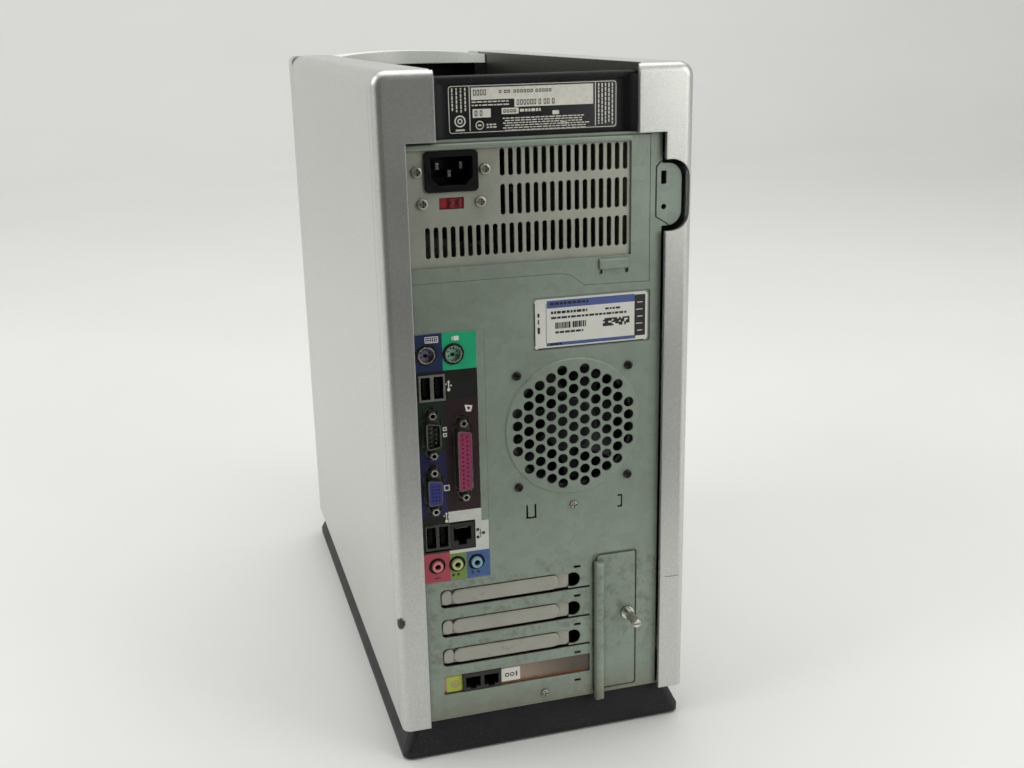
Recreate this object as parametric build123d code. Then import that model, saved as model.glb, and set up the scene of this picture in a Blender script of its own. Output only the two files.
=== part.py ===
from build123d import *
import math
import os

# Desktop computer tower. Millimetres, +Z up, front towards -Y, rear panel towards +Y.
# The origin is on the floor, at the middle of the outline seen from above.

# ---------------------------------------------------------------- driving sizes
WIDTH = 190.5
HEIGHT = 430.0
RIM_HEIGHT = 432.0
DEPTH = 424.0
HALF_W = WIDTH / 2
FRONT_Y = -DEPTH / 2
SCREW_TIP_Y = DEPTH / 2
REAR_Y = 193.0
SHEET = 1.2
PANEL_BACK_Y = REAR_Y - SHEET

# plastic shells
SHELL_REAR_Y = 198.0
SHELL_FRONT_Y = -172.0
SHELL_WALL = 3.0
SHELL_BOTTOM_Z = 24.6
REAR_CORNER_R = 5.5
TOP_CORNER_R = 8.5
TOP_INNER_X = 62.2
FLANGE_INNER_X = 77.7
CORNER_INNER_X = 60.5
CORNER_STEP_Z = 390.5
LIP_BOTTOM_Z = 402.0

# base stand
BASE_TOP_Z = 24.0
BASE_BOTTOM_Z = 1.5
BASE_FRONT_Y = -198.0
BASE_TOP_HALF_W = 86.5
BASE_HOLLOW_X = 76.0
BASE_HOLLOW_Z = 19.0
FOOT_SIZE = (12.0, 34.0)

# sheet metal chassis
CHASSIS_HALF_W = 87.0
CHASSIS_FRONT_Y = -165.0
CHASSIS_BOTTOM_Z = 26.0
CHASSIS_TOP_Z = 391.0
TRAY_X = CHASSIS_HALF_W - SHEET

# top channel between the shells
CHANNEL_FLOOR_Z = 400.0
TOP_RIM_Z = 425.5
TOP_COVER_HALF_W = 61.7
REAR_CAP_Y = 188.0
RIM_REAR_Y = -147.0

# front bezel, bowed in plan
BOW = 13.0
BOW_R = (HALF_W**2 + BOW**2) / (2 * BOW)
BOW_CENTRE_Y = FRONT_Y + BOW_R
CENTRE_HALF_W = 77.0
CENTRE_RECESS = 3.0
CENTRE_LOW_Z = 50.0
CENTRE_HIGH_Z = 398.0

# bays and front controls
DRIVE_FACE_Y = -203.5
OPTICAL_Z = (346.0, 387.0)
BLANK_Z = (302.5, 343.5)
FLOPPY_Z = (273.5, 298.9)
OPTICAL_HALF_W = 73.0
FLOPPY_HALF_W = 50.8
TRAY_SLOT_Z = (OPTICAL_Z[0] + 17.3, OPTICAL_Z[0] + 34.3)
TRAY_KEY_Z = OPTICAL_Z[0] + 8.3
FLOPPY_SLOT_Z = FLOPPY_Z[0] + 15.8
FLOPPY_KEY_Z = FLOPPY_Z[0] + 7.0
TRAY_HALF_W = 64.0
TRAY_LENGTH = 146.0
POWER_BUTTON_Z = 243.0
POWER_BUTTON_R = 13.0
LIGHT_Z = 221.0
LIGHT_X = 9.0
DOOR_HALF_W = 32.0
DOOR_Z = (62.0, 104.0)
DOOR_HINGE_Z = 64.2
DOOR_HINGE_Y = -205.6

# rear panel features
FAN_X = -20.5
FAN_Z = 214.25
FAN_HOLE_SPACING = 71.5
FAN_SIZE = 80.0
FAN_DEPTH = 25.0
FAN_RING_R = 43.8
FAN_RING_RAISE = 0.8
GRILLE_HOLE_R = 3.25
GRILLE_PITCH_X = 7.2
GRILLE_PITCH_Z = 8.1
GRILLE_REACH = 38.5
SLOT_PITCH = 20.32
SLOT_TOP_Z = 110.9
SLOT_COUNT = 4
SLOT_X = (-16.6, 67.4)
SLOT_RISE = (-7.0, 5.5)
NOTCH_X = -19.4
NOTCH_R = 5.0
SLIT_RISE = 8.5
SLOT_END_X = -30.9
PANEL_EDGE_X = -77.0
HASP_X = (-89.6, -73.2)
HASP_Z = (334.6, 371.9)
IO_X = (35.0, 79.4)
IO_Z = (122.4, 281.1)

# power supply
PSU_X = (-64.0, 84.5)
PSU_Z = (303.5, 388.4)
PSU_Y = (52.0, 191.6)
PSU_SHEET = 1.0
PSU_WINDOW_X = (-57.5, 84.0)
PSU_WINDOW_Z = (318.8, 385.6)
VENT_W = 2.9
VENT_PITCH = 5.0
VENT_LAST_X = -54.0
INLET_X = 51.0
INLET_Z = 374.0
SWITCH_X = 51.3
SWITCH_Z = 355.5

# board and cards
BOARD_X = (77.5, 79.1)
BOARD_Y = (-56.0, 188.0)
BOARD_Z = (41.0, 285.0)
CPU_Y = 105.0
CPU_Z = 215.0
MODEM_Z = SLOT_TOP_Z - 3 * SLOT_PITCH


# ---------------------------------------------------------------- helpers
def block(x, y, z):
    """Box between three (low, high) pairs."""
    spans = (x, y, z)
    sizes = [high - low for low, high in spans]
    centre = [(high + low) / 2 for low, high in spans]
    return Pos(*centre) * Box(*sizes)


def mirror_span(half):
    """The pair (-half, half)."""
    return (-half, half)


def rod_y(x, z, radius, y):
    """Cylinder along Y between the pair y."""
    return Pos(x, (y[0] + y[1]) / 2, z) * Rot(90, 0, 0) * Cylinder(radius, y[1] - y[0])


def rod_x(y, z, radius, x):
    """Cylinder along X between the pair x."""
    return Pos((x[0] + x[1]) / 2, y, z) * Rot(0, 90, 0) * Cylinder(radius, x[1] - x[0])


def rod_z(x, y, radius, z):
    """Cylinder along Z between the pair z."""
    return Pos(x, y, (z[0] + z[1]) / 2) * Cylinder(radius, z[1] - z[0])


def rect(x, z, radius=0.0):
    """Flat rectangle in X and Z, with rounded corners if a radius is given."""
    centre = Pos((x[0] + x[1]) / 2, (z[0] + z[1]) / 2)
    if radius:
        return centre * RectangleRounded(x[1] - x[0], z[1] - z[0], radius)
    return centre * Rectangle(x[1] - x[0], z[1] - z[0])


def disc(x, z, radius):
    """Flat disc in X and Z."""
    return Pos(x, z) * Circle(radius)


def plate_y(sketch, y):
    """Plate of a sketch in X and Z, filling the pair y along Y."""
    return extrude(Plane.XZ.offset(-y[1]) * sketch, y[1] - y[0])


def plate_z(sketch, z):
    """Plate of a sketch in X and Y, filling the pair z along Z."""
    return extrude(Plane.XY.offset(z[0]) * sketch, z[1] - z[0])


def group(shapes):
    """Several separate solids under one name."""
    return Compound(children=[solid for shape in shapes for solid in shape.solids()])


def bow_y(radius, x):
    """Y of the bowed front surface of a radius, at x."""
    return BOW_CENTRE_Y - math.sqrt(radius**2 - x**2)


def bowed_slab(half_w, z, outer, inner):
    """Curved slab between two bow radii, cut to a width and a height span."""
    slab = rod_z(0, BOW_CENTRE_Y, outer, z) - rod_z(0, BOW_CENTRE_Y, inner, z)
    return slab & block(mirror_span(half_w), (FRONT_Y - 1, SHELL_FRONT_Y), z)


# ---------------------------------------------------------------- base and shells
def base_stand():
    """Tapered plinth, open underneath, with pockets for the feet."""
    bottom = Pos(0, (BASE_FRONT_Y + REAR_Y) / 2) * RectangleRounded(WIDTH, REAR_Y - BASE_FRONT_Y, 6)
    top = Pos(0, (BASE_FRONT_Y + REAR_Y) / 2) * RectangleRounded(
        2 * BASE_TOP_HALF_W, REAR_Y - BASE_FRONT_Y - 12, 5
    )
    toe_z = BASE_BOTTOM_Z + 4
    toe = plate_z(bottom, (BASE_BOTTOM_Z, toe_z))
    slope = loft([Plane.XY.offset(toe_z) * bottom, Plane.XY.offset(BASE_TOP_Z) * top])
    body = toe + slope
    hollow = block(mirror_span(BASE_HOLLOW_X), (BASE_FRONT_Y + 14, REAR_Y - 14), (0, BASE_HOLLOW_Z))
    rails = [
        block((x - 3, x + 3), (CHASSIS_FRONT_Y, REAR_Y - 20), (BASE_TOP_Z - 0.5, CHASSIS_BOTTOM_Z - 0.05))
        for x in (-60, 60)
    ]
    return body - hollow - foot_solids() + rails


def foot_solids():
    """Four rubber pads let into the plinth's underside."""
    pads = []
    for side in (-1, 1):
        for y in (BASE_FRONT_Y + 34, REAR_Y - 34):
            x = side * (HALF_W - 10)
            pad = Pos(x, y) * RectangleRounded(FOOT_SIZE[0], FOOT_SIZE[1], 4)
            pads.append(plate_z(pad, (0, BASE_BOTTOM_Z + 1.5)))
    return pads


def shell(side):
    """Plastic side shell: side wall, top wall with a turned-down lip, and rear flange.

    side is +1 for the fixed shell and -1 for the access cover.
    """
    x = (0, HALF_W)
    outer = block(x, (SHELL_FRONT_Y, SHELL_REAR_Y), (SHELL_BOTTOM_Z, HEIGHT))
    top_side = outer.edges().filter_by(Axis.Y).sort_by(Axis.Z)[-2:].sort_by(Axis.X)[-1]
    outer = fillet([top_side], TOP_CORNER_R)
    rim = outer.faces().sort_by(Axis.Y)[-1].edges()
    rim = [e for e in rim if e.center().X > 1 and e.center().Z > SHELL_BOTTOM_Z + 1]
    outer = fillet(rim, REAR_CORNER_R)
    wall = SHELL_WALL
    inner = block(
        (-1, HALF_W - wall), (SHELL_FRONT_Y - 1, SHELL_REAR_Y - wall), (SHELL_BOTTOM_Z - 1, HEIGHT - wall)
    )
    inner_edge = inner.edges().filter_by(Axis.Y).sort_by(Axis.Z)[-2:].sort_by(Axis.X)[-1]
    inner = fillet([inner_edge], TOP_CORNER_R - wall)
    body = outer - inner
    body -= block((-1, TOP_INNER_X), (SHELL_FRONT_Y - 1, SHELL_REAR_Y - wall), (0, HEIGHT + 1))
    body -= block((-1, FLANGE_INNER_X), (0, SHELL_REAR_Y + 1), (0, CORNER_STEP_Z))
    body -= block((-1, CORNER_INNER_X), (0, SHELL_REAR_Y + 1), (0, HEIGHT + 1))
    lip_x = (TOP_INNER_X, TOP_INNER_X + 2.5)
    body += block(lip_x, (SHELL_FRONT_Y + 28, SHELL_REAR_Y - wall), (LIP_BOTTOM_Z, HEIGHT - wall + 0.5))
    for z in (90.0, 200.0, 310.0):
        body += block(
            (HALF_W - wall - 2.0, HALF_W - wall + 0.1), (SHELL_FRONT_Y + 12, SHELL_REAR_Y - 12), (z, z + 2.5)
        )
    seam_y = SHELL_REAR_Y - 13.5
    body -= block((HALF_W - 0.4, HALF_W + 1), (seam_y, seam_y + 0.5), (SHELL_BOTTOM_Z - 1, HEIGHT - TOP_CORNER_R))
    if side < 0:
        body -= hasp_cutout()
        body -= block((80.6, HALF_W - 2.6), (SHELL_REAR_Y - 0.5, SHELL_REAR_Y + 1), (105.0, 105.6))
        return mirror(body, Plane.YZ)
    return body


def hasp_cutout():
    """D-shaped cut in the rear flange, round side outwards."""
    low, high, outer_x = 331.9, 374.5, 93.1
    corner = 12.0
    outline = rect((FLANGE_INNER_X - 2 * corner, outer_x), (low, high), corner)
    return plate_y(outline, (SHELL_REAR_Y - SHELL_WALL - 1, SHELL_REAR_Y + 1))


def top_cover():
    """Black channel between the shells: floor, rear cap that carries a label, low front wall."""
    half = TOP_COVER_HALF_W
    floor = block(mirror_span(half), (SHELL_FRONT_Y - 14, REAR_CAP_Y), (CHANNEL_FLOOR_Z - 3, CHANNEL_FLOOR_Z))
    cap = block(mirror_span(half), (REAR_CAP_Y - 4, REAR_CAP_Y), (CHASSIS_TOP_Z + 0.3, TOP_RIM_Z))
    rim = block(mirror_span(half), (REAR_CAP_Y - 8, REAR_CAP_Y + 1.5), (TOP_RIM_Z - 4.5, TOP_RIM_Z))
    rim = fillet(rim.edges().filter_by(Axis.X), 2.0)
    front = block(mirror_span(half), (SHELL_FRONT_Y - 14, SHELL_FRONT_Y - 11), (CHANNEL_FLOOR_Z - 3, 420.5))
    end_r = 9.0
    cap_z = (CHASSIS_TOP_Z + 0.3, TOP_RIM_Z - 2.0)
    end = block((half - end_r, half), (REAR_CAP_Y - 1, SHELL_REAR_Y - SHELL_WALL - 0.5), cap_z)
    end -= rod_z(half - end_r - 0.2, REAR_CAP_Y + end_r, end_r, (cap_z[0] - 1, cap_z[1] + 1))
    cap += end + mirror(end, Plane.YZ)
    posts = [
        block((x - 4, x + 4), (y - 4, y + 4), (CHASSIS_TOP_Z + 0.2, CHANNEL_FLOOR_Z - 2))
        for x in (-50, 50)
        for y in (-140, 0, 150)
    ]
    return floor + cap + rim + front + posts


# ---------------------------------------------------------------- front
def front_bezel():
    """Silver bowed front frame with a tall window for the centre panel."""
    z = (SHELL_BOTTOM_Z, HEIGHT)
    plan = make_face(
        Polyline((-HALF_W, bow_y(BOW_R, HALF_W)), (-HALF_W, SHELL_FRONT_Y - 0.4), (HALF_W, SHELL_FRONT_Y - 0.4),
                 (HALF_W, bow_y(BOW_R, HALF_W)))
        + ThreePointArc((HALF_W, bow_y(BOW_R, HALF_W)), (0, FRONT_Y), (-HALF_W, bow_y(BOW_R, HALF_W)))
    )
    body = plate_z(plan, z)
    corners = body.edges().filter_by(Axis.Z).sort_by(Axis.Y)[:2]
    body = fillet(corners, 7.0)
    rim = body.faces().sort_by(Axis.Z)[-1].edges()
    rim = [edge for edge in rim if edge.center().Y < SHELL_FRONT_Y - 1]
    body = fillet(rim, 5.0)
    inner_half = HALF_W - SHELL_WALL
    hollow = block(
        mirror_span(inner_half), (FRONT_Y, SHELL_FRONT_Y + 1), (SHELL_BOTTOM_Z + SHELL_WALL, HEIGHT - SHELL_WALL)
    ) & rod_z(0, BOW_CENTRE_Y, BOW_R - SHELL_WALL, z)
    hollow &= block(mirror_span(inner_half), (-205, SHELL_FRONT_Y + 1), z)
    body -= hollow
    window = block(
        mirror_span(CENTRE_HALF_W + 0.3), (FRONT_Y - 1, SHELL_FRONT_Y - 6), (CENTRE_LOW_Z - 0.3, CENTRE_HIGH_Z + 0.3)
    )
    channel = block(mirror_span(TOP_INNER_X), (FRONT_Y - 1, SHELL_FRONT_Y + 1), (421.0, HEIGHT + 1))
    return body - window - channel


def bezel_rim():
    """Silver crowned cap over the bezel's top, its rear edge an arc in plan."""
    half = TOP_INNER_X - 0.4
    front_arc = ThreePointArc(
        (half, bow_y(BOW_R - 1.5, half)), (0, bow_y(BOW_R - 1.5, 0)), (-half, bow_y(BOW_R - 1.5, half))
    )
    outline = make_face(
        front_arc
        + Line((-half, bow_y(BOW_R - 1.5, half)), (-half, RIM_REAR_Y))
        + Line((-half, RIM_REAR_Y), (-53.0, RIM_REAR_Y - 8))
        + ThreePointArc((-53.0, RIM_REAR_Y - 8), (2.0, RIM_REAR_Y - 30), (half, RIM_REAR_Y))
        + Line((half, RIM_REAR_Y), (half, bow_y(BOW_R - 1.5, half)))
    )
    body = plate_z(outline, (421.4, RIM_HEIGHT))
    crown_r = 560.0
    crown = rod_y(2.0, RIM_HEIGHT - crown_r, crown_r, (FRONT_Y - 1, RIM_REAR_Y + 5))
    return body & crown


def centre_panel():
    """Dark bowed centre panel with openings for bays, button, lights and port door."""
    outer = BOW_R - CENTRE_RECESS
    panel = bowed_slab(CENTRE_HALF_W, (CENTRE_LOW_Z, CENTRE_HIGH_Z), outer, outer - 3.0)
    frame = block(mirror_span(CENTRE_HALF_W), (-200, SHELL_FRONT_Y - 16), (CENTRE_LOW_Z, CENTRE_HIGH_Z))
    frame -= block(
        mirror_span(CENTRE_HALF_W - 2), (-205, SHELL_FRONT_Y), (CENTRE_LOW_Z + 2, CENTRE_HIGH_Z - 2)
    )
    panel += frame & rod_z(0, BOW_CENTRE_Y, outer, (CENTRE_LOW_Z, CENTRE_HIGH_Z))
    cut_y = (FRONT_Y - 1, SHELL_FRONT_Y - 9)
    panel -= block(mirror_span(OPTICAL_HALF_W + 1.2), cut_y, (OPTICAL_Z[0] - 0.7, OPTICAL_Z[1] + 0.7))
    panel -= block(mirror_span(OPTICAL_HALF_W + 1.2), cut_y, (BLANK_Z[0] - 0.7, BLANK_Z[1] + 0.7))
    panel -= block(mirror_span(FLOPPY_HALF_W + 0.8), cut_y, (FLOPPY_Z[0] - 0.6, FLOPPY_Z[1] + 0.6))
    panel -= rod_y(0, POWER_BUTTON_Z, POWER_BUTTON_R + 0.4, cut_y)
    for side in (-1, 1):
        panel -= rod_y(side * LIGHT_X, LIGHT_Z, 1.7, cut_y)
    panel -= block(mirror_span(DOOR_HALF_W + 0.5), cut_y, (DOOR_Z[0] - 2.0, DOOR_Z[1] + 0.5))
    cheek = block(
        (DOOR_HALF_W + 0.5, DOOR_HALF_W + 4.5), (-204.6 - 3, DOOR_HINGE_Y + 4), (DOOR_Z[0], DOOR_HINGE_Z + 5)
    )
    cheek -= rod_x(DOOR_HINGE_Y, DOOR_HINGE_Z, 1.05, (DOOR_HALF_W, DOOR_HALF_W + 5))
    for side in (-1, 1):
        one = cheek if side > 0 else mirror(cheek, Plane.YZ)
        panel -= rod_x(DOOR_HINGE_Y, DOOR_HINGE_Z, 1.05, (min(side * 32, side * 38), max(side * 32, side * 38)))
        panel += one
    for z in range(114, 204, 9):
        panel -= plate_y(Pos(0, z) * Rot(0, 0, 90) * SlotOverall(4, 3) + rect((-38, 38), (z - 1.5, z + 1.5)), cut_y)
    return panel


def bay_blank():
    """Blank cover in the second drive bay, bowed like the panel round it."""
    outer = BOW_R - CENTRE_RECESS
    face = bowed_slab(OPTICAL_HALF_W + 0.8, BLANK_Z, outer, outer - 2.6)
    return face + [
        block((x - 1, x + 1), (-204, SHELL_FRONT_Y - 9), (BLANK_Z[0] + 6, BLANK_Z[1] - 6)) for x in (-66, 66)
    ]


def power_button():
    """Round push button on a square stem."""
    face = rod_y(0, POWER_BUTTON_Z, POWER_BUTTON_R, (-212 + 0.6, -203))
    face = fillet(face.edges().sort_by(Axis.Y)[0], 1.4)
    return face + block((-3, 3), (-204, -186), (POWER_BUTTON_Z - 3, POWER_BUTTON_Z + 3))


def status_lights():
    """Two small light pipes beside each other under the power button."""
    face_y = bow_y(BOW_R - CENTRE_RECESS, LIGHT_X)
    return group(rod_y(side * LIGHT_X, LIGHT_Z, 1.6, (face_y - 0.4, -190)) for side in (-1, 1))


def port_door():
    """Flap over the front ports, hinged on two stub pins at its lower edge."""
    outer = BOW_R - CENTRE_RECESS
    flap = bowed_slab(DOOR_HALF_W, (DOOR_HINGE_Z, DOOR_Z[1]), outer, outer - 2.6)
    barrel = rod_x(DOOR_HINGE_Y, DOOR_HINGE_Z, 2.0, mirror_span(DOOR_HALF_W))
    web = block(mirror_span(DOOR_HALF_W), (DOOR_HINGE_Y - 1.9, DOOR_HINGE_Y + 1.4), (DOOR_HINGE_Z, DOOR_HINGE_Z + 3))
    pins = rod_x(DOOR_HINGE_Y, DOOR_HINGE_Z, 1.0, mirror_span(DOOR_HALF_W + 3.6))
    return flap + barrel + web + pins


def front_ports():
    """Small block behind the flap with two USB sockets and two audio sockets."""
    body = block(mirror_span(28), (-198, -186), (69, 99))
    for x in (-15, 0):
        body -= block((x - 6, x + 6), (-199, -188), (80, 84.6))
    for x in (14, 23):
        body -= rod_y(x, 82.3, 1.8, (-199, -188))
    return body


# ---------------------------------------------------------------- drives
def optical_drive():
    """Metal drive case, hollow where the tray runs."""
    case = block(mirror_span(OPTICAL_HALF_W), (-197, -5), OPTICAL_Z)
    case -= block(mirror_span(TRAY_HALF_W + 1.5), (-198, -48), TRAY_SLOT_Z)
    return case


def optical_front():
    """Plastic front of the optical drive with the tray slot and a hole for its button."""
    z = (OPTICAL_Z[0] + 0.2, OPTICAL_Z[1] - 0.2)
    face = block(mirror_span(OPTICAL_HALF_W + 0.6), (DRIVE_FACE_Y, -197.2), z)
    face = fillet(face.faces().sort_by(Axis.Y)[0].edges(), 1.0)
    face -= block(mirror_span(TRAY_HALF_W + 1.5), (DRIVE_FACE_Y - 1, -196), TRAY_SLOT_Z)
    face -= block((49.6, 60.4), (DRIVE_FACE_Y - 1, -196), (TRAY_KEY_Z - 2.9, TRAY_KEY_Z + 2.9))
    face -= rod_y(-60, TRAY_KEY_Z, 1.75, (DRIVE_FACE_Y - 1, -196))
    return face


def optical_tray():
    """Disc tray with a stepped disc well and its own front."""
    low, high = TRAY_SLOT_Z
    front = block(mirror_span(TRAY_HALF_W + 1.0), (DRIVE_FACE_Y - 1.2, -200.5), (low + 0.5, high - 0.5))
    front = fillet(front.faces().sort_by(Axis.Y)[0].edges(), 0.8)
    plate = block(mirror_span(TRAY_HALF_W), (-200.6, -200.6 + TRAY_LENGTH), (low + 2.5, low + 8.5))
    centre_y = -200.6 + 70
    plate -= rod_z(0, centre_y, 60.5, (low + 5.0, low + 9))
    plate -= rod_z(0, centre_y, 41.0, (low + 4.0, low + 9))
    plate -= block((-14, 14), (centre_y - 14, -200.6 + TRAY_LENGTH + 1), (low, low + 9))
    return front + plate


def optical_eject_button():
    """Small rectangular key under the tray."""
    key = block((50, 60), (DRIVE_FACE_Y - 0.8, -198.8), (TRAY_KEY_Z - 2.5, TRAY_KEY_Z + 2.5))
    return fillet(key.faces().sort_by(Axis.Y)[0].edges(), 0.5)


def floppy_drive():
    """Floppy drive body with its slot and a hole for the eject key."""
    z = (FLOPPY_Z[0] + 0.1, FLOPPY_Z[1] - 0.1)
    body = block(mirror_span(FLOPPY_HALF_W), (DRIVE_FACE_Y + 0.4, -55), z)
    body -= block((-46, 46), (DRIVE_FACE_Y - 1, -110), (FLOPPY_SLOT_Z - 1.8, FLOPPY_SLOT_Z + 1.8))
    body -= block((29.6, 42.4), (DRIVE_FACE_Y - 1, -196), (FLOPPY_KEY_Z - 2.4, FLOPPY_KEY_Z + 2.4))
    return body


def floppy_eject_button():
    """Rectangular eject key of the floppy drive."""
    key = block((30, 42), (DRIVE_FACE_Y - 2.6, -199.6), (FLOPPY_KEY_Z - 2, FLOPPY_KEY_Z + 2))
    return fillet(key.faces().sort_by(Axis.Y)[0].edges(), 0.6)


def hard_drive():
    """3.5 inch hard drive: cast body with a raised lid."""
    body = block(mirror_span(50.4), (-158, -12), (226, 249.5))
    lid = block(mirror_span(46.0), (-150, -20), (249.4, 252.0))
    body = fillet(body.edges().filter_by(Axis.Z), 2.0)
    return body + fillet(lid.edges().filter_by(Axis.Z), 6.0)


def drive_cage():
    """Sheet cage that holds the drives, open at front and rear."""
    split_z = BLANK_Z[0] - 2.5
    wide = block(mirror_span(75.6), (-163, -2), (split_z, 389))
    wide -= block(mirror_span(74.6), (-164, 0), (split_z + 1, 388))
    narrow = block(mirror_span(53.0), (-163, -2), (222, split_z + 0.5))
    narrow -= block(mirror_span(52.0), (-164, 0), (223, split_z))
    legs = [block((x - 0.5, x + 0.5), (-160, -100), (27.3, 222.5)) for x in (-40, 40)]
    return wide + narrow + legs


# ---------------------------------------------------------------- chassis
def bracket_outline(gap=0.0):
    """Outline of the power supply bracket plate, grown by a gap on every side."""
    left, right = TRAY_X, -69.3 - gap
    points = [
        (left, 310.5 - gap), (-12.7, 310.5 - gap), (-18.9, 309.3 - gap), (-27.8, 302.4 - gap),
        (right, 301.7 - gap), (right, 389.2 + gap), (left, 389.2 + gap),
    ]
    return make_face(Polyline(*points, close=True))


def fan_grille():
    """Round holes on a triangular grid, kept inside a reach from the fan's centre."""
    holes = []
    for column in range(-5, 6):
        x = column * GRILLE_PITCH_X
        shift = 0.0 if column % 2 == 0 else GRILLE_PITCH_Z / 2
        for row in range(-6, 6):
            z = row * GRILLE_PITCH_Z + shift
            if math.hypot(x, z) <= GRILLE_REACH:
                holes.append(disc(FAN_X + x, FAN_Z + z, GRILLE_HOLE_R))
    return holes


def fan_corners():
    """Centres of the four fan screws."""
    half = FAN_HOLE_SPACING / 2
    return [(FAN_X + sx * half, FAN_Z + sz * half) for sx in (-1, 1) for sz in (-1, 1)]


def slot_centres():
    """Heights of the expansion slots, from the top down."""
    return [SLOT_TOP_Z - i * SLOT_PITCH for i in range(SLOT_COUNT)]


def rear_panel():
    """Rear sheet with the fan grille, slot openings, I/O window and pressed label recess."""
    outline = rect((PANEL_EDGE_X, TRAY_X - 0.1), (CHASSIS_BOTTOM_Z + SHEET + 0.1, CHASSIS_TOP_Z - SHEET - 0.1), 1.0)
    outline += rect((HASP_X[0], PANEL_EDGE_X + 10), HASP_Z, 9.0)
    cuts = [bracket_outline(0.25), rect(IO_X, IO_Z)]
    low, high = SLOT_RISE
    for z in slot_centres()[:3]:
        cuts += [rect(SLOT_X, (z + low, z + high), 3.0), disc(NOTCH_X, z, NOTCH_R)]
        cuts += [rect((SLOT_END_X, 0), (z + low, z + low + 1.4))]
    cuts += [rect((SLOT_END_X, SLOT_X[1]), (MODEM_Z - 6.6, MODEM_Z + 6.3), 1.0)]
    slit_heights = [z + SLIT_RISE for z in slot_centres()] + [MODEM_Z - SLOT_PITCH + SLIT_RISE]
    cuts += [rect((-24.6, -20.2), (z - 0.85, z + 0.85), 0.5) for z in slit_heights]
    cuts += fan_grille()
    cuts += [disc(x, z, 2.1) for x, z in fan_corners()]
    cuts += [rect((-79.8, -76.4), (359.5, 367.4), 0.8), disc(-78.3, 346.0, 1.6)]
    cuts += [disc(FAN_X + 0.2, 162.6, 1.55), disc(0.5, 33.1, 1.55)]
    sheet = plate_y(outline, (PANEL_BACK_Y, REAR_Y))
    raised = rod_y(FAN_X, FAN_Z, FAN_RING_R, (PANEL_BACK_Y, REAR_Y + FAN_RING_RAISE))
    raised = chamfer(raised.edges().sort_by(Axis.Y)[-1], 0.7)
    sheet += raised
    sheet -= rod_y(FAN_X, FAN_Z, FAN_RING_R - 1.2, (PANEL_BACK_Y - 1, PANEL_BACK_Y + FAN_RING_RAISE))
    recess = rect((-70.3, 5.1), (264.2, 296.8), 2.0)
    backing = rect((-71.5, 6.3), (263.0, 298.0), 3.0)
    sheet += plate_y(backing, (PANEL_BACK_Y - 0.8, PANEL_BACK_Y))
    sheet -= plate_y(recess, (REAR_Y - 0.8, REAR_Y + 1))
    sheet += plate_y(rect((-64.0, -31.6), (27.6, 127.5), 3.0), (PANEL_BACK_Y - 0.8, PANEL_BACK_Y))
    sheet -= plate_y(rect((-63.0, -32.6), (28.6, 126.5), 2.0), (REAR_Y - 0.8, REAR_Y + 1))
    for cut in cuts:
        sheet -= plate_y(cut, (PANEL_BACK_Y - 2, REAR_Y + 2))
    hook_left = rect((4.2, 10.8), (156.7, 166.0)) - rect((5.4, 9.6), (157.9, 166.1))
    hook_right = rect((-52.9, -49.7), (156.6, 165.3)) - rect((-51.9, -48), (157.8, 164.1))
    sheet -= plate_y(hook_left, (PANEL_BACK_Y - 1, REAR_Y + 1))
    sheet -= plate_y(hook_right, (PANEL_BACK_Y - 1, REAR_Y + 1))
    return sheet - hasp_groove()


def hasp_groove():
    """Deep narrow groove that sets the hasp plate off from the rear sheet."""
    x = HASP_X[1]
    bottom = (-82.6, HASP_Z[0] - 0.5)
    line = Polyline((-79.5, 373.8), (-76.0, 373.0), (x, 370.0), (x, 340.3), bottom)
    groove = Pos(0, 0) * offset(line, 0.45)
    return plate_y(make_face(groove.edges()), (REAR_Y - 0.9, REAR_Y + 1))


def chassis_floor():
    """Bottom sheet with an upturned edge on the access side."""
    y = (CHASSIS_FRONT_Y + SHEET + 0.1, REAR_Y)
    floor = block(mirror_span(CHASSIS_HALF_W), y, (CHASSIS_BOTTOM_Z, CHASSIS_BOTTOM_Z + SHEET))
    edge = block((-CHASSIS_HALF_W, -CHASSIS_HALF_W + SHEET), (y[0], PANEL_BACK_Y - 0.1), (CHASSIS_BOTTOM_Z, 38))
    return floor + edge


def chassis_top():
    """Top sheet with a downturned edge on the access side."""
    y = (CHASSIS_FRONT_Y + SHEET + 0.1, REAR_Y)
    z = (CHASSIS_TOP_Z - SHEET, CHASSIS_TOP_Z)
    sheet = block(mirror_span(CHASSIS_HALF_W), y, z)
    return sheet + block((-CHASSIS_HALF_W, -CHASSIS_HALF_W + SHEET), (y[0], PANEL_BACK_Y - 0.1), (376, z[1]))


def motherboard_tray():
    """Upright sheet on the fixed side, behind the motherboard."""
    z = (CHASSIS_BOTTOM_Z + SHEET + 0.1, CHASSIS_TOP_Z - SHEET - 0.1)
    y = (CHASSIS_FRONT_Y + SHEET + 0.1, REAR_Y)
    return block((TRAY_X, CHASSIS_HALF_W), y, z)


def front_wall():
    """Front sheet with an opening for the drives and a field of air slots."""
    outline = rect(mirror_span(CHASSIS_HALF_W), (CHASSIS_BOTTOM_Z, CHASSIS_TOP_Z), 2.0)
    outline -= rect(mirror_span(76.2), (BLANK_Z[0] - 3.1, 388.5))
    outline -= rect(mirror_span(53.4), (221.4, BLANK_Z[0] - 3.0))
    for z in range(60, 200, 12):
        outline -= rect((-45, 45), (z - 2.5, z + 2.5), 2.4)
    return plate_y(outline, (CHASSIS_FRONT_Y, CHASSIS_FRONT_Y + SHEET))


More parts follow.
